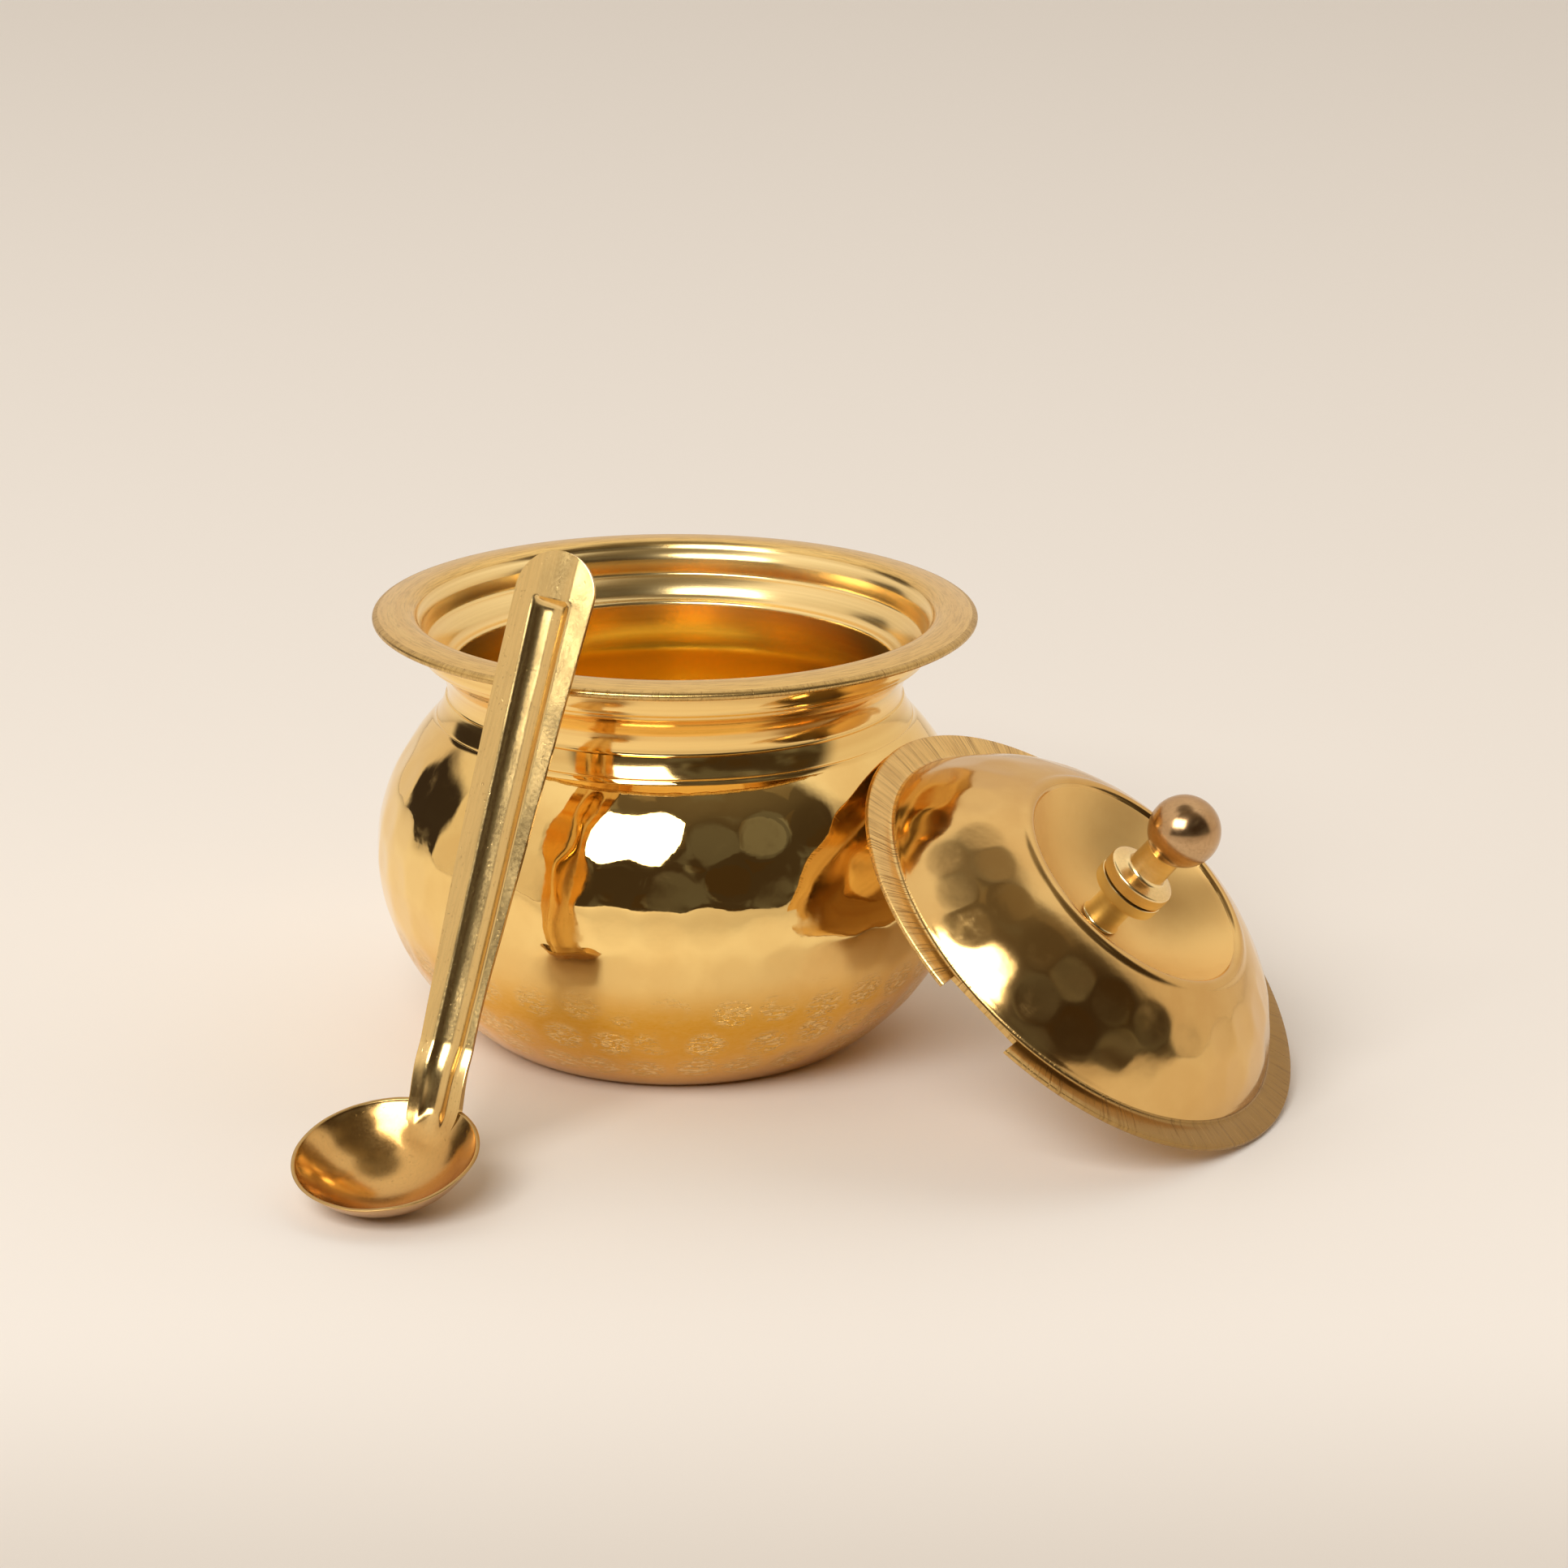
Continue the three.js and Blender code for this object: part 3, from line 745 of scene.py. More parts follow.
class GHEE_OT_pot(bpy.types.Operator):
    """Make the hammered pot"""

    bl_idname = "ghee_pot.make_pot"
    bl_label = "Pot"
    bl_options = {"REGISTER", "UNDO"}

    def execute(self, context):
        settings = context.scene.ghee_pot
        base = belly_radius(0)
        foot = bend((base - BASE_ROUND, 0), (base, 0), (belly_radius(BASE_ROUND), BASE_ROUND), 6)
        lower = belly_arc(BASE_ROUND, BELLY_HEIGHT, 0, 46)
        upper = belly_arc(BELLY_HEIGHT, SHOULDER, 0, 34)
        edge = belly_radius(SHOULDER)
        bead = bend((edge, 0), (edge - 0.01, 0.14), (edge - 0.16, 0.24), 7, SHOULDER)
        into_step = (34.32, NECK_STEP - SHOULDER - 0.25)
        into_cove = (37.6, LEDGE_TOP - NECK_STEP - 1.5)
        neck = [
            *bend((edge - 0.22, 0.3), (34.8, 1.5), into_step, 12, SHOULDER),
            *bend((34.28, -0.1), (NECK_RADIUS, 0), (34.0, 0.2), 3, NECK_STEP),
            *bend((34.0, 0.8), (34.15, 4.3), into_cove, 14, NECK_STEP),
            *bend((37.7, -1.35), (37.75, -1.05), (37.9, -0.9), 3, LEDGE_TOP),
            *bend((38.15, -0.6), (MOUTH_RADIUS, 3.1), (41.3, 3.35), 12, LEDGE_TOP),
            (43.8, LEDGE_TOP + 3.55),
        ]
        filed = [
            *bend((44.0, -1.8), (RIM_RADIUS, -1.78), (RIM_RADIUS, -1.2), 8, POT_HEIGHT),
            *bend((RIM_RADIUS, -1.1), (RIM_RADIUS - 0.06, -0.62), (44.2, -0.45), 8, POT_HEIGHT),
        ]
        lip = [
            *bend((44.0, -0.4), (42.2, 0), (40.6, 0), 12, POT_HEIGHT),
            *bend((40.4, -0.01), (38.9, -0.05), (38.5, -0.95), 12, POT_HEIGHT),
        ]
        seat = [
            *bend((MOUTH_RADIUS - 0.3, -1.25), (37.5, -1.9), (37.3, -2.8), 7, POT_HEIGHT),
            (SEAT_RADIUS, LEDGE_TOP + 0.75),
            *bend((SEAT_RADIUS, 0.3), (37.15, 0), (36.8, -0.15), 4, LEDGE_TOP),
            *bend((36.5, -0.3), (35.4, -1.1), (34.8, -2.3), 6, LEDGE_TOP),
            *bend((34.7, -2.5), (34.3, -3.1), (33.2, -3.2), 5, LEDGE_TOP),
            *bend((33.1, -3.25), (THROAT_RADIUS, -3.4), (THROAT_RADIUS, -3.9), 4, LEDGE_TOP),
        ]
        throat_foot = belly_arc(SHOULDER - 0.7, BELLY_HEIGHT, POT_WALL, 16)
        inside = [
            *bend((THROAT_RADIUS, LEDGE_TOP - 5), (THROAT_RADIUS, SHOULDER + 1.5), throat_foot[0], 10),
            *throat_foot[1:],
            *belly_arc(BELLY_HEIGHT, POT_WALL, POT_WALL, 20),
            *[(radius, POT_WALL) for radius in (18, 8, 0)],
        ]
        on_belly, on_neck, on_lip, on_inside, on_edge = range(5)
        stretches = [
            (on_belly, [(0, 0), (10, 0), (20, 0), *foot]),
            (on_belly, lower),
            (on_belly, upper),
            (on_neck, bead),
            (on_neck, neck),
            (on_edge, filed),
            (on_lip, lip),
            (on_inside, seat),
            (on_inside, inside),
        ]
        bm = lathe(stretches, settings.turned_steps)
        pitch = settings.mark_pitch / MM
        marked = [p for p in lower + upper if 3 < p.y < SHOULDER - 4]
        first = 3 + len(foot)
        middles = mark_rows(marked, pitch, seed=5)
        span = (first - 1, first + len(lower) + len(upper) - 4)
        strike(bm, middles, pitch * MARK_REACH, settings.mark_depth / MM, span)
        brass, pale = settings.pot_brass, (1.0, 0.77, 0.36)
        finishes = [
            hammered("hammered_belly", brass, worn_and_shaded_below=WORN_AND_SHADED_BELOW),
            spun("spun_neck", brass),
            spun("brushed_lip", darker(brass, 0.93, 0.03), None, 0.24, 0.0045, 0.006, 0.5),
            # The inside is painted pale near the mouth and deep orange lower down: painted light,
            # painted shade and painted reflection of light bouncing inside.
            spun("spun_inside", pale, None, 0.24, 0.003, 0.01, deep=(1.0, 0.7, 0.12), rise=(40, 58)),
            satin("filed_edge", darker(brass, 0.72, 0.08), None, 0.27, 60.0, 0.9, 0.005, 0.5),
        ]
        upright = Matrix.Identity(4)
        finished("pot", bm, upright, finishes, "pot", "hammered_brass", "pot_body", sharp=POT_SHARP)
        return {"FINISHED"}


class GHEE_OT_lid(bpy.types.Operator):
    """Make the domed lid with its dished middle and its notch"""

    bl_idname = "ghee_pot.make_lid"
    bl_label = "Lid"
    bl_options = {"REGISTER", "UNDO"}

    def execute(self, context):
        settings = context.scene.ghee_pot
        half = LID_SHEET / 2
        foot = (DOME_FOOT, half + 0.7)
        crest = (CREST_RADIUS + 1.5, CREST_HEIGHT - 0.75)
        fullness = 0.16 * CREST_HEIGHT
        corner = ((foot[0] + crest[0]) / 2 + fullness, (foot[1] + crest[1]) / 2 + fullness)
        inner = (CREST_RADIUS - 0.75, CREST_HEIGHT - 0.75)
        flange = [
            (LID_RADIUS - 0.12, -half + 0.05),
            *bend((LID_RADIUS, -half + 0.2), (LID_RADIUS, half), (LID_RADIUS - 0.3, half), 4),
            (37.2, half),
            (36, half),
            (34.9, half - 0.05),
        ]
        groove = bend((34.5, half - 0.12), (33.9, half - 0.1), (33.75, half + 0.35), 6)
        dome = bend(foot, corner, crest, 42)
        ridge = bend(crest, (CREST_RADIUS, CREST_HEIGHT + 0.45), inner, 12)
        sink = ((inner[0] + DISH_FLAT) / 2, DISH_FLOOR + 0.75)
        dish = bend(inner, sink, (DISH_FLAT, DISH_FLOOR), 30)
        hole = [(HOLE_RADIUS, DISH_FLOOR), (HOLE_RADIUS, DISH_FLOOR - LID_SHEET)]
        outer = [*flange[5:], *groove, *dome, *ridge, *dish]
        under = offset([Vector(p) for p in outer], -LID_SHEET)[::-2]
        on_flange, on_dome, on_dish, on_underside = range(4)
        stretches = [
            (on_flange, flange),
            (on_flange, groove),
            (on_dome, dome),
            (on_dome, ridge[1:]),
            (on_dish, dish[1:]),
            (on_dish, hole),
            (on_underside, [(DISH_FLAT, DISH_FLOOR - LID_SHEET), *under[1:]]),
        ]
        bm = lathe(stretches, settings.turned_steps, closed=True)
        pitch = settings.mark_pitch / MM * DOME_MARKS
        depth = settings.mark_depth / MM * DOME_MARKS
        first = len(flange) + len(groove)
        marked = [p for p in dome if 2.4 < p.y < CREST_HEIGHT - 2.2]
        middles = mark_rows(marked, pitch, first_shift=0.3, seed=11)
        span = (first, first + len(dome) - 3)
        strike(bm, middles, pitch * MARK_REACH, depth, span, seed=3)
        place = lid_place()
        brass = settings.lid_brass
        scratched = darker(brass, 0.98, 0.08)
        finishes = [
            # The flange's darkening towards +X is painted shade.
            satin("scratched_flange", scratched, place, 0.24, 70.0, 0.07, 0.008, 0.8, side_shade=0.95),
            hammered("hammered_dome", darker(brass, 0.82, 0.14), place, 0.13, (4, 1.6, 0.8)),
            buffed("satin_dish", darker(brass, 1.04), place, 0.52, 0.0008, (0.8, 3.0, 3.0)),
            spun("lid_underside", darker(brass, 0.95, 0.04), place, 0.22, 0.004, 0.01),
        ]
        piece = finished("lid", bm, place, finishes, "lid", "lid_brass", "lid_shell")
        self.cut_notch(context, piece, place)
        return {"FINISHED"}

    def cut_notch(self, context, piece, place):
        """Cut the square notch for the spoon's handle out of the flange."""
        bm = bmesh.new()
        bmesh.ops.create_cube(bm, size=1)
        size = Matrix.Diagonal((NOTCH_WIDTH, 2 * NOTCH_DEPTH, 4, 1))
        shift = Matrix.Translation((0, -LID_RADIUS, 0))
        bmesh.ops.transform(bm, matrix=Matrix.Scale(MM, 4) @ place @ shift @ size, verts=bm.verts)
        bmesh.ops.recalc_face_normals(bm, faces=bm.faces)
        cutter = placed("notch_cutter", mesh_from("notch_cutter", bm))
        cut = piece.modifiers.new("notch", "BOOLEAN")
        cut.operation = "DIFFERENCE"
        cut.solver = "EXACT"
        cut.object = cutter
        graph = context.evaluated_depsgraph_get()
        notched = bpy.data.meshes.new_from_object(piece.evaluated_get(graph))
        piece.modifiers.clear()
        piece.data = notched
        notched.set_sharp_from_angle(angle=math.radians(LID_SHARP))
        bpy.data.objects.remove(cutter)


class GHEE_OT_knob(bpy.types.Operator):
    """Turn the knob's two pieces: the stem with its collar, and the ball with its neck"""

    bl_idname = "ghee_pot.make_knob"
    bl_label = "Knob"
    bl_options = {"REGISTER", "UNDO"}

    def execute(self, context):
        settings = context.scene.ghee_pot
        place = lid_place()
        tail = DISH_FLOOR - LID_SHEET - 0.3
        collar, waist = COLLAR_RADIUS, STEM_RADIUS
        stem = [
            (0, tail - 1.1),
            *bend((SHANK_RADIUS, -1.1), (3.2, -1.1), (3.2, -0.1), 8, tail),
            (3.1, tail),
            (SHANK_RADIUS, tail),
            (SHANK_RADIUS, STEM_FOOT),
            (3.05, STEM_FOOT),
            *bend((3.1, 0.15), (waist, 0.35), (waist, 0.8), 5, STEM_FOOT),
            *bend((waist, -0.45), (waist, 0), (3.3, 0), 4, COLLAR_FOOT),
            *bend((collar - 0.45, 0), (collar, 0), (collar, 0.45), 5, COLLAR_FOOT),
            *bend((collar, -0.2), (collar, 0), (collar - 0.2, 0), 3, COLLAR_TOP),
            (SPIGOT_RADIUS, COLLAR_TOP),
            (SPIGOT_RADIUS, COLLAR_TOP + 3.4),
            (0, COLLAR_TOP + 3.4),
        ]
        bm = lathe([(0, stem)], KNOB_STEPS)
        finish = spun("turned_stem", (1.0, 0.83, 0.45), place, 0.2, 0.003, 0.004)
        finished("knob_foot", bm, place, [finish], "lid", "knob_brass", "knob_stem")

        neck_angle = math.acos(BALL_NECK / BALL_RADIUS)
        ball_middle = UPPER_TOP + 5.1 + math.sqrt(BALL_RADIUS**2 - BALL_NECK**2)
        disc = [
            (0, COLLAR_TOP + 3.7),
            (SOCKET_RADIUS, COLLAR_TOP + 3.7),
            (SOCKET_RADIUS, UPPER_FOOT),
            *bend((collar - 0.2, 0), (collar, 0), (collar, 0.2), 3, UPPER_FOOT),
            *bend((collar, -0.5), (collar, -0.1), (collar - 0.4, 0), 5, UPPER_TOP),
        ]
        under_ball = (BALL_NECK + 0.15, 0.05 - BALL_RADIUS * math.sin(neck_angle))
        neck = [
            *bend((3.7, 0.42), (3.05, 0.5), (BALL_NECK, 1.1), 6, UPPER_TOP),
            (BALL_NECK - 0.05, UPPER_TOP + 3),
            *bend((BALL_NECK - 0.05, -4.75), (BALL_NECK, -4.45), under_ball, 3, ball_middle),
        ]
        ball = arc(ball_middle, BALL_RADIUS, BALL_RADIUS, 0.06 - neck_angle, math.pi / 2, 40)
        on_collar, on_ball = range(2)
        bm = lathe([(on_collar, disc), (on_collar, neck), (on_ball, ball)], KNOB_STEPS)
        finishes = [
            spun("turned_collar", (1.0, 0.77, 0.38), place, 0.24, 0.004, 0.004, 0.15),
            spun("turned_ball", settings.red_brass, place, 0.2, 0.004, 0.004, 0.35),
        ]
        finished("knob_top", bm, place, finishes, "lid", "knob_red_brass", "knob_ball")
        return {"FINISHED"}


def smooth_step(value, low, high):
    """0 at low, 1 at high, smooth between."""
    t = min(max((value - low) / (high - low), 0), 1)
    return t * t * (3 - 2 * t)


def channel_depth(across, height):
    """Depth of the pressed channel in the handle's front face, with rounded shoulders."""
    radius = channel_radius(height)
    side = abs(across - CHANNEL_SWEEP * (height / HANDLE_LENGTH - 1))
    half_width = math.sqrt(radius**2 - CHANNEL_AXIS**2)
    if side < half_width:
        depth = math.sqrt(radius**2 - side**2) - CHANNEL_AXIS
    else:
        depth = (half_width - side) * half_width / CHANNEL_AXIS
    softened = (depth + math.sqrt(depth**2 + 0.03)) / 2
    run = min(max((height - HANDLE_LENGTH + CHANNEL_STOP + 1.5) / 1.5, 0), 1)
    return softened * math.sqrt(1 - run * run)


class GHEE_OT_spoon(bpy.types.Operator):
    """Press the spoon: a round bowl and a channelled handle with a flat round end"""

    bl_idname = "ghee_pot.make_spoon"
    bl_label = "Spoon"
    bl_options = {"REGISTER", "UNDO"}

    on_sheet, on_edge = range(2)

    def handle_edges(self, height):
        """The handle's two edges at a height: the wide side and the short side."""
        half = HANDLE_FOOT / 2
        taper = (TIP_RADIUS - half) / HANDLE_LENGTH
        if height < FLARE_HEIGHT:
            t = max(height, 0) / FLARE_HEIGHT
            wide = half + FOOT_SWEEP * (1 - t) ** 2 + taper * FLARE_HEIGHT * t
        else:
            wide = half + taper * height
        a = HANDLE_LENGTH - 2 * SWEEP_HEIGHT
        t = (math.sqrt(SWEEP_HEIGHT**2 + a * max(height, 0)) - SWEEP_HEIGHT) / a
        start, corner, end = half - FOOT_SWEEP, TIP_RADIUS - FOOT_SWEEP / 4, TIP_RADIUS
        short = start * (1 - t) ** 2 + 2 * corner * t * (1 - t) + end * t * t
        return -wide, short

    def handle(self):
        """The handle's front face as a sheet in the handle's frame."""
        bm = bmesh.new()
        bmesh.ops.create_grid(bm, x_segments=54, y_segments=330, size=1)
        root = -TONGUE
        tip_share = 0.1
        wall = self.inner_wall()
        for vert in bm.verts:
            u, v = vert.co.x, (vert.co.y + 1) / 2
            if v < 1 - tip_share:
                height = root + (HANDLE_LENGTH - root) * v / (1 - tip_share)
                low, high = self.handle_edges(min(height, HANDLE_LENGTH))
                narrow = math.sqrt(max(1 - (min(height, 0) / root) ** 2, 0))
                middle = (low + high) / 2
                low, high = middle + (low - middle) * narrow, middle + (high - middle) * narrow
            else:
                angle = (v - 1 + tip_share) / tip_share * math.pi / 2
                height = HANDLE_LENGTH + (TIP_RADIUS - 0.05) * math.sin(angle)
                low, high = -TIP_RADIUS * math.cos(angle), TIP_RADIUS * math.cos(angle)
            across = (low + high) / 2 + (high - low) / 2 * u
            side = abs(across - CHANNEL_SWEEP * (min(height, HANDLE_LENGTH) / HANDLE_LENGTH - 1))
            droop = (0.06 if across > 0 else 0.13) * max(side - 2.6, 0)
            flush = 0.44 * (1 - smooth_step(height, 0, 22))
            sunk = 0.09 * (1 - smooth_step(height, -0.2, 0.6))
            unevenness = 0.05 * noise.noise(Vector((across * 0.35, height * 0.16, 4.2)))
            front = flush - droop - sunk + unevenness
            lift = 0.07 - 0.1 * max(abs(u), height / root, 0) ** 3
            front += (wall(across, height) + lift - front) * smooth_step(height, 8.5, -1.2)
            front += self.run_in(across, height) if height < 0 else -channel_depth(across, height)
            vert.co = Vector((across, front, height))
        bmesh.ops.remove_doubles(bm, verts=bm.verts, dist=1e-3)
        bmesh.ops.recalc_face_normals(bm, faces=bm.faces)
        bm.normal_update()
        if sum(face.normal.y for face in bm.faces) < 0:
            bmesh.ops.reverse_faces(bm, faces=bm.faces)
        return bm

    def inner_wall(self):
        """A function that gives where the bowl's inner wall is in the handle's frame."""
        middle = handle_place().inverted() @ Vector((0, 0, BOWL_SPHERE - BOWL_DEPTH))
        inner = BOWL_SPHERE - SPOON_SHEET

        def wall(across, height):
            away = (across - middle.x) ** 2 + (height - middle.z) ** 2
            return middle.y - math.sqrt(max(inner**2 - away, 0))

        return wall

    def run_in(self, across, height):
        """How the channel's end hollows and swells the bowl's wall, in the handle's frame."""
        depth = channel_depth(across, 0) * smooth_step(height, -4.4, -0.9)
        from_middle = (across + CHANNEL_SWEEP) / 2.9
        return 0.5 * math.exp(-(((height + 5.4) / 1.6) ** 2) - from_middle**2) - depth

    def bowl(self):
        """The bowl's closed shell in the spoon's frame, hollowed where the channel runs into it."""
        sphere, inner_sphere = BOWL_SPHERE, BOWL_SPHERE - SPOON_SHEET
        middle = sphere - BOWL_DEPTH
        below_rim = 0.012
        rim = -math.asin(middle / sphere) - below_rim
        inner_rim = -math.asin(middle / inner_sphere) - below_rim
        outer = arc(middle, sphere, sphere, -math.pi / 2, rim, 54)
        inner = arc(middle, inner_sphere, inner_sphere, inner_rim, -math.pi / 2, 54)
        for point in inner:
            point.x *= 1 + 0.034 * smooth_step(point.y, -2.6, 0)
        edge = bend(outer[-1], (BOWL_RADIUS - 0.02, 0.0), (BOWL_RADIUS - 0.3, -0.01), 4)[1:]
        edge += bend(edge[-1], (inner[0].x + 0.02, -0.02), inner[0], 4)[1:-1]
        bm = lathe([(self.on_sheet, outer), (self.on_edge, edge), (self.on_sheet, inner)], BOWL_STEPS)
        from_handle = handle_place()
        to_handle = from_handle.inverted()
        for vert in bm.verts:
            here = to_handle @ vert.co
            away = 1.0
            if here.z > -11 and abs(here.y) < 6:
                side = abs(here.x + FOOT_SWEEP)
                away = max(smooth_step(side, 4.6, 8), smooth_step(-here.z, 7, 11))
                tuck = 0.32 * smooth_step(here.z, -2.2, -0.6) * (1 - smooth_step(side, 3.2, 4.3))
                lift = self.run_in(here.x, here.z) - tuck
                vert.co = from_handle @ (here + Vector((0, lift, 0)))
            dent = noise.noise(vert.co * 0.16) * 0.16 + noise.noise(vert.co * 0.5) * 0.03
            vert.co.z += dent * away * smooth_step(vert.co.z, -5, 0)
        return bm

    def execute(self, context):
        settings = context.scene.ghee_pot
        place = spoon_place()
        handle_frame = place @ handle_place()
        brass = settings.spoon_brass
        bm = self.handle()
        bmesh.ops.solidify(bm, geom=bm.faces[:], thickness=SPOON_SHEET)
        bmesh.ops.recalc_face_normals(bm, faces=bm.faces)
        rim = [e for e in bm.edges if len(e.link_faces) == 2 and e.calc_face_angle(0) > 1.1]
        bmesh.ops.bevel(
            bm,
            geom=rim,
            offset=0.16,
            offset_type="OFFSET",
            affect="EDGES",
            segments=2,
            profile=0.5,
            material=-1,
            clamp_overlap=True,
        )
        for face in bm.faces:
            middle = face.calc_center_median()
            low, high = self.handle_edges(min(middle.z, HANDLE_LENGTH))
            outer = middle.x < low + 0.5 or middle.x > high - 0.5 or middle.z > HANDLE_LENGTH + 1
            cut = outer and abs(face.normal.y) < 0.6 and middle.z > 0
            face.material_index = self.on_edge if cut else self.on_sheet
        bmesh.ops.transform(bm, matrix=handle_place(), verts=bm.verts)
        smooth(bm)
        handle_mesh = mesh_from("handle_part", bm)
        bm = self.bowl()
        bm.from_mesh(handle_mesh)
        bpy.data.meshes.remove(handle_mesh)
        dull, dull_and_shaded = darker(brass, 0.62, 0.12), darker(brass, 0.6, 0.12)
        finishes = [
            # Each finish's second colour, darker and browner, is painted shade on the bowl.
            pressed("pressed_sheet", darker(brass, 0.93), darker(brass, 0.72, 0.26), handle_frame),
            pressed("cut_edge", dull, dull_and_shaded, handle_frame, 0.32, 0.003, 0.4),
        ]
        finished("spoon_sheet", bm, place, finishes, "spoon", "spoon_brass", "spoon", sharp=SPOON_SHARP)
        return {"FINISHED"}


class GHEE_OT_stage(bpy.types.Operator):
    """Lay the pale floor and set the soft studio light and the camera"""

    bl_idname = "ghee_pot.make_stage"
    bl_label = "Stage"
    bl_options = {"REGISTER", "UNDO"}

    def floor(self, settings):
        """The pale floor, a little darker in the foreground, with a painted pool of light round the
        pot. Returns its finish.
        """
        bm = bmesh.new()
        bmesh.ops.create_grid(bm, x_segments=8, y_segments=8, size=7)
        bmesh.ops.translate(bm, vec=(0, 1.5, -0.05 * MM), verts=bm.verts)
        finish = Finish("pale_floor")
        clouds = finish.noise(finish.place, 0.004, 3, 0.5)
        colour = settings.floor_colour
        tint = finish.mix(finish.step(clouds, 0.3, 0.7), colour, darker(colour, 0.97, 0.02))
        # Painted light: a pool of light on the floor from a little in front of the pot backwards.
        far = finish.step(finish.parts(finish.place)["Y"], -215, -105)
        tint = finish.mix(far, tint, (0.93, 0.895, 0.855))
        finish.feed(finish.shader.inputs["Base Color"], tint)
        finish.shader.inputs["Roughness"].default_value = 0.75
        floor = placed("floor", mesh_from("floor", bm))
        floor.data.materials.append(finish.material)
        return finish.material

    def backdrop(self, paper):
        """A pale round wall far behind, kept out of the metal's reflections and the light's way."""
        bm = bmesh.new()
        bmesh.ops.create_circle(bm, segments=96, radius=BACKDROP_RADIUS)
        walls = bmesh.ops.extrude_edge_only(bm, edges=bm.edges[:])["geom"]
        top = [part for part in walls if isinstance(part, bmesh.types.BMVert)]
        bmesh.ops.translate(bm, vec=(0, 0, BACKDROP_HEIGHT), verts=top)
        bmesh.ops.translate(bm, vec=(0, 0, -MM), verts=bm.verts)
        bmesh.ops.recalc_face_normals(bm, faces=bm.faces)
        if bm.faces[0].normal.dot(bm.faces[0].calc_center_median()) > 0:
            bmesh.ops.reverse_faces(bm, faces=bm.faces)
        smooth(bm)
        wall = placed("backdrop", mesh_from("backdrop", bm))
        wall.data.materials.append(paper)
        wall.visible_glossy = False
        wall.visible_diffuse = False
        wall.visible_shadow = False

    def window(self, settings):
        """The soft window light, in front of the pot at the left and above."""
        light = bpy.data.lights.new("window", "AREA")
        light.shape = "RECTANGLE"
        light.size = 1.66
        light.size_y = 1.16
        light.energy = settings.window_power
        light.color = (1.0, 0.965, 0.92)
        lamp = placed("window", light)
        middle = Vector((0, 0, 0.03))
        level = math.cos(WINDOW_ELEVATION)
        left, front = math.sin(WINDOW_AZIMUTH) * level, -math.cos(WINDOW_AZIMUTH) * level
        way = Vector((left, front, math.sin(WINDOW_ELEVATION)))
        lamp.location = middle + way * WINDOW_DISTANCE
        lamp.rotation_euler = way.to_track_quat("Z", "Y").to_euler()

    def room(self, context):
        """The room's light: cream all round, and dim with pale and dark shapes in front of the pot."""
        world = bpy.data.worlds.new("room")
        context.scene.world = world
        nodes = Nodes(world)
        way = nodes.node("ShaderNodeTexCoord").outputs["Generated"]
        parts = nodes.parts(way)
        azimuth = nodes.math("ARCTAN2", parts["X"], nodes.product(parts["Y"], -1.0))
        elevation = nodes.math("ARCSINE", parts["Z"])
        right = nodes.math("SUBTRACT", 1.0, nodes.step(azimuth, 1.3, 1.55))
        front = nodes.product(nodes.step(azimuth, -0.98, -0.82), right)
        dim = nodes.math("MAXIMUM", front, nodes.product(nodes.step(elevation, 1.12, 1.32), 0.9))
        deep = nodes.mix(nodes.step(elevation, 0.55, 1.2), (0.058, 0.036, 0.016), (0.25, 0.195, 0.125))
        pale = nodes.step(nodes.noise(way, 3.2, 2, 0.5, 0.4), 0.5, 0.62)
        shade = nodes.mix(nodes.product(pale, 0.45), deep, (0.3, 0.3, 0.26))
        shapes = nodes.node("ShaderNodeTexVoronoi")
        shapes.distance = "CHEBYCHEV"
        shapes.inputs["Scale"].default_value = 3.6
        nodes.join(way, shapes.inputs["Vector"])
        block = nodes.product(nodes.step(shapes.outputs["Distance"], 0.26, 0.3), 0.5)
        shade = nodes.mix(block, shade, (0.05, 0.04, 0.03))
        cream = nodes.mix(nodes.step(elevation, 0.3, 1.2), (0.78, 0.67, 0.55), (1.02, 0.95, 0.87))
        light = nodes.mix(dim, cream, shade)
        beside = nodes.math("ABSOLUTE", nodes.math("ADD", azimuth, 2.05))
        flag = nodes.math("SUBTRACT", 1.0, nodes.step(beside, 0.2, 0.3))
        low = nodes.math("SUBTRACT", 1.0, nodes.step(elevation, 0.35, 0.5))
        light = nodes.mix(nodes.product(flag, low), light, (0.04, 0.03, 0.025))
        background = nodes.node("ShaderNodeBackground")
        nodes.join(light, background.inputs["Color"])
        output = nodes.node("ShaderNodeOutputWorld")
        nodes.join(background.outputs[0], output.inputs["Surface"])

    def camera(self, context):
        """The photograph's viewpoint: 17.6 degrees down, through a long lens."""
        camera = bpy.data.cameras.new("camera")
        camera.lens = LENS_LENGTH / FRAME_WIDTH * camera.sensor_width
        camera.shift_x = (FRAME_WIDTH / 2 - LENS_COLUMN) / FRAME_WIDTH
        camera.clip_start = 0.05
        camera.clip_end = 50
        holder = placed("camera", camera)
        holder.location = CAMERA_PLACE
        holder.rotation_euler = (math.pi / 2 - CAMERA_DOWN, 0, 0)
        context.scene.camera = holder

    def execute(self, context):
        settings = context.scene.ghee_pot
        paper = self.floor(settings)
        self.backdrop(paper)
        self.window(settings)
        self.room(context)
        self.camera(context)
        context.scene.view_settings.view_transform = "Standard"
        return {"FINISHED"}


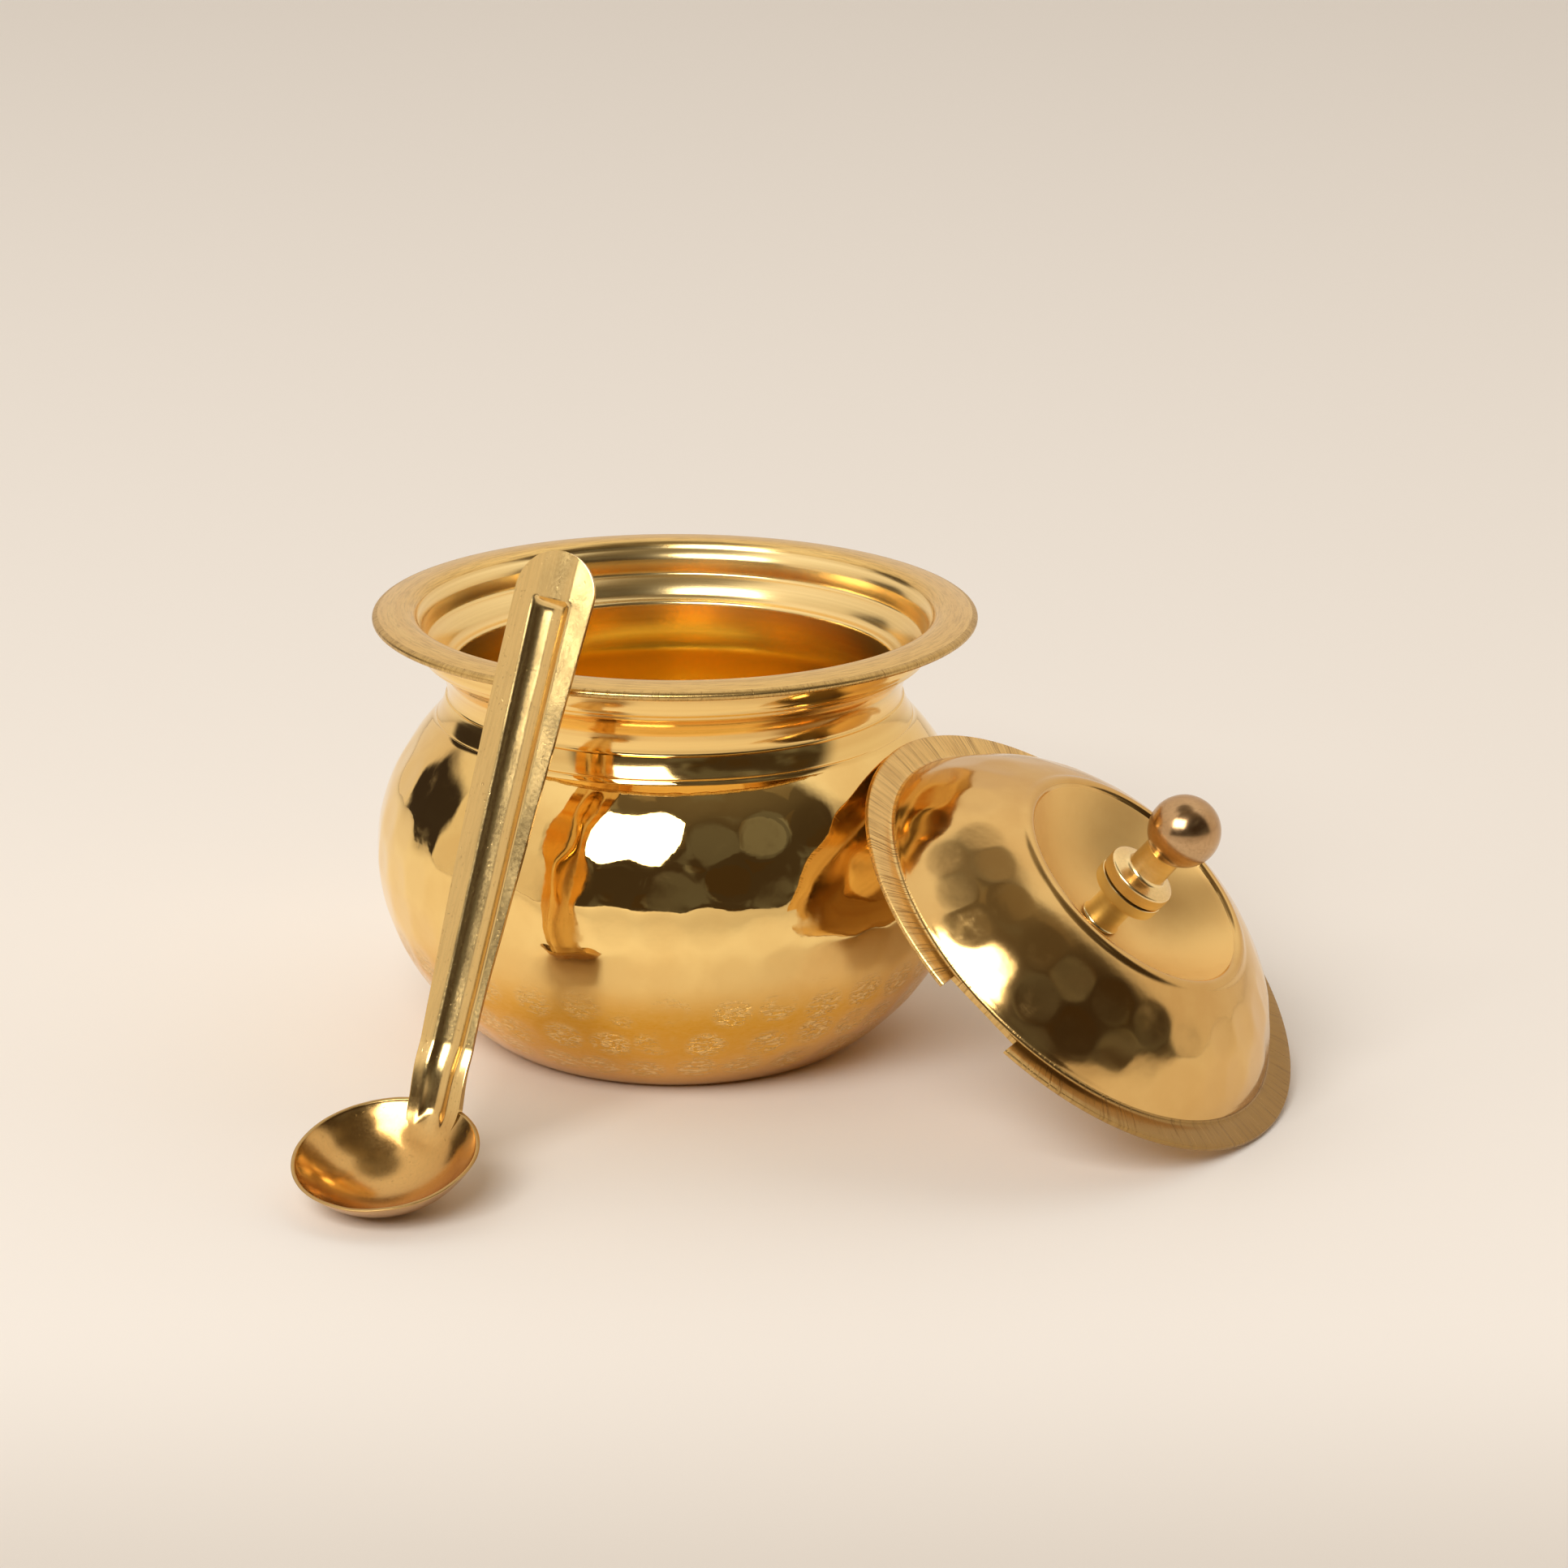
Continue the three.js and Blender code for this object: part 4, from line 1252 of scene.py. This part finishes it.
class GHEE_PT_panel(bpy.types.Panel):
    """Lists the pieces and their settings in the 3D view's sidebar"""

    bl_label = "Ghee Pot"
    bl_idname = "GHEE_PT_panel"
    bl_space_type = "VIEW_3D"
    bl_region_type = "UI"
    bl_category = "Ghee Pot"

    def draw(self, context):
        settings = context.scene.ghee_pot
        for name in GheePotSettings.__annotations__:
            self.layout.prop(settings, name)
        for operator in OPERATORS:
            self.layout.operator(operator.bl_idname)


OPERATORS = (GHEE_OT_stage, GHEE_OT_pot, GHEE_OT_lid, GHEE_OT_knob, GHEE_OT_spoon)
CLASSES = (GheePotSettings, *OPERATORS, GHEE_PT_panel)


def register():
    for cls in CLASSES:
        bpy.utils.register_class(cls)
    bpy.types.Scene.ghee_pot = PointerProperty(type=GheePotSettings)


def unregister():
    del bpy.types.Scene.ghee_pot
    for cls in reversed(CLASSES):
        bpy.utils.unregister_class(cls)


def main():
    register()
    bpy.ops.ghee_pot.make_stage()
    bpy.ops.ghee_pot.make_pot()
    bpy.ops.ghee_pot.make_lid()
    bpy.ops.ghee_pot.make_knob()
    bpy.ops.ghee_pot.make_spoon()
    bpy.context.view_layer.update()


if __name__ == "__main__":
    main()
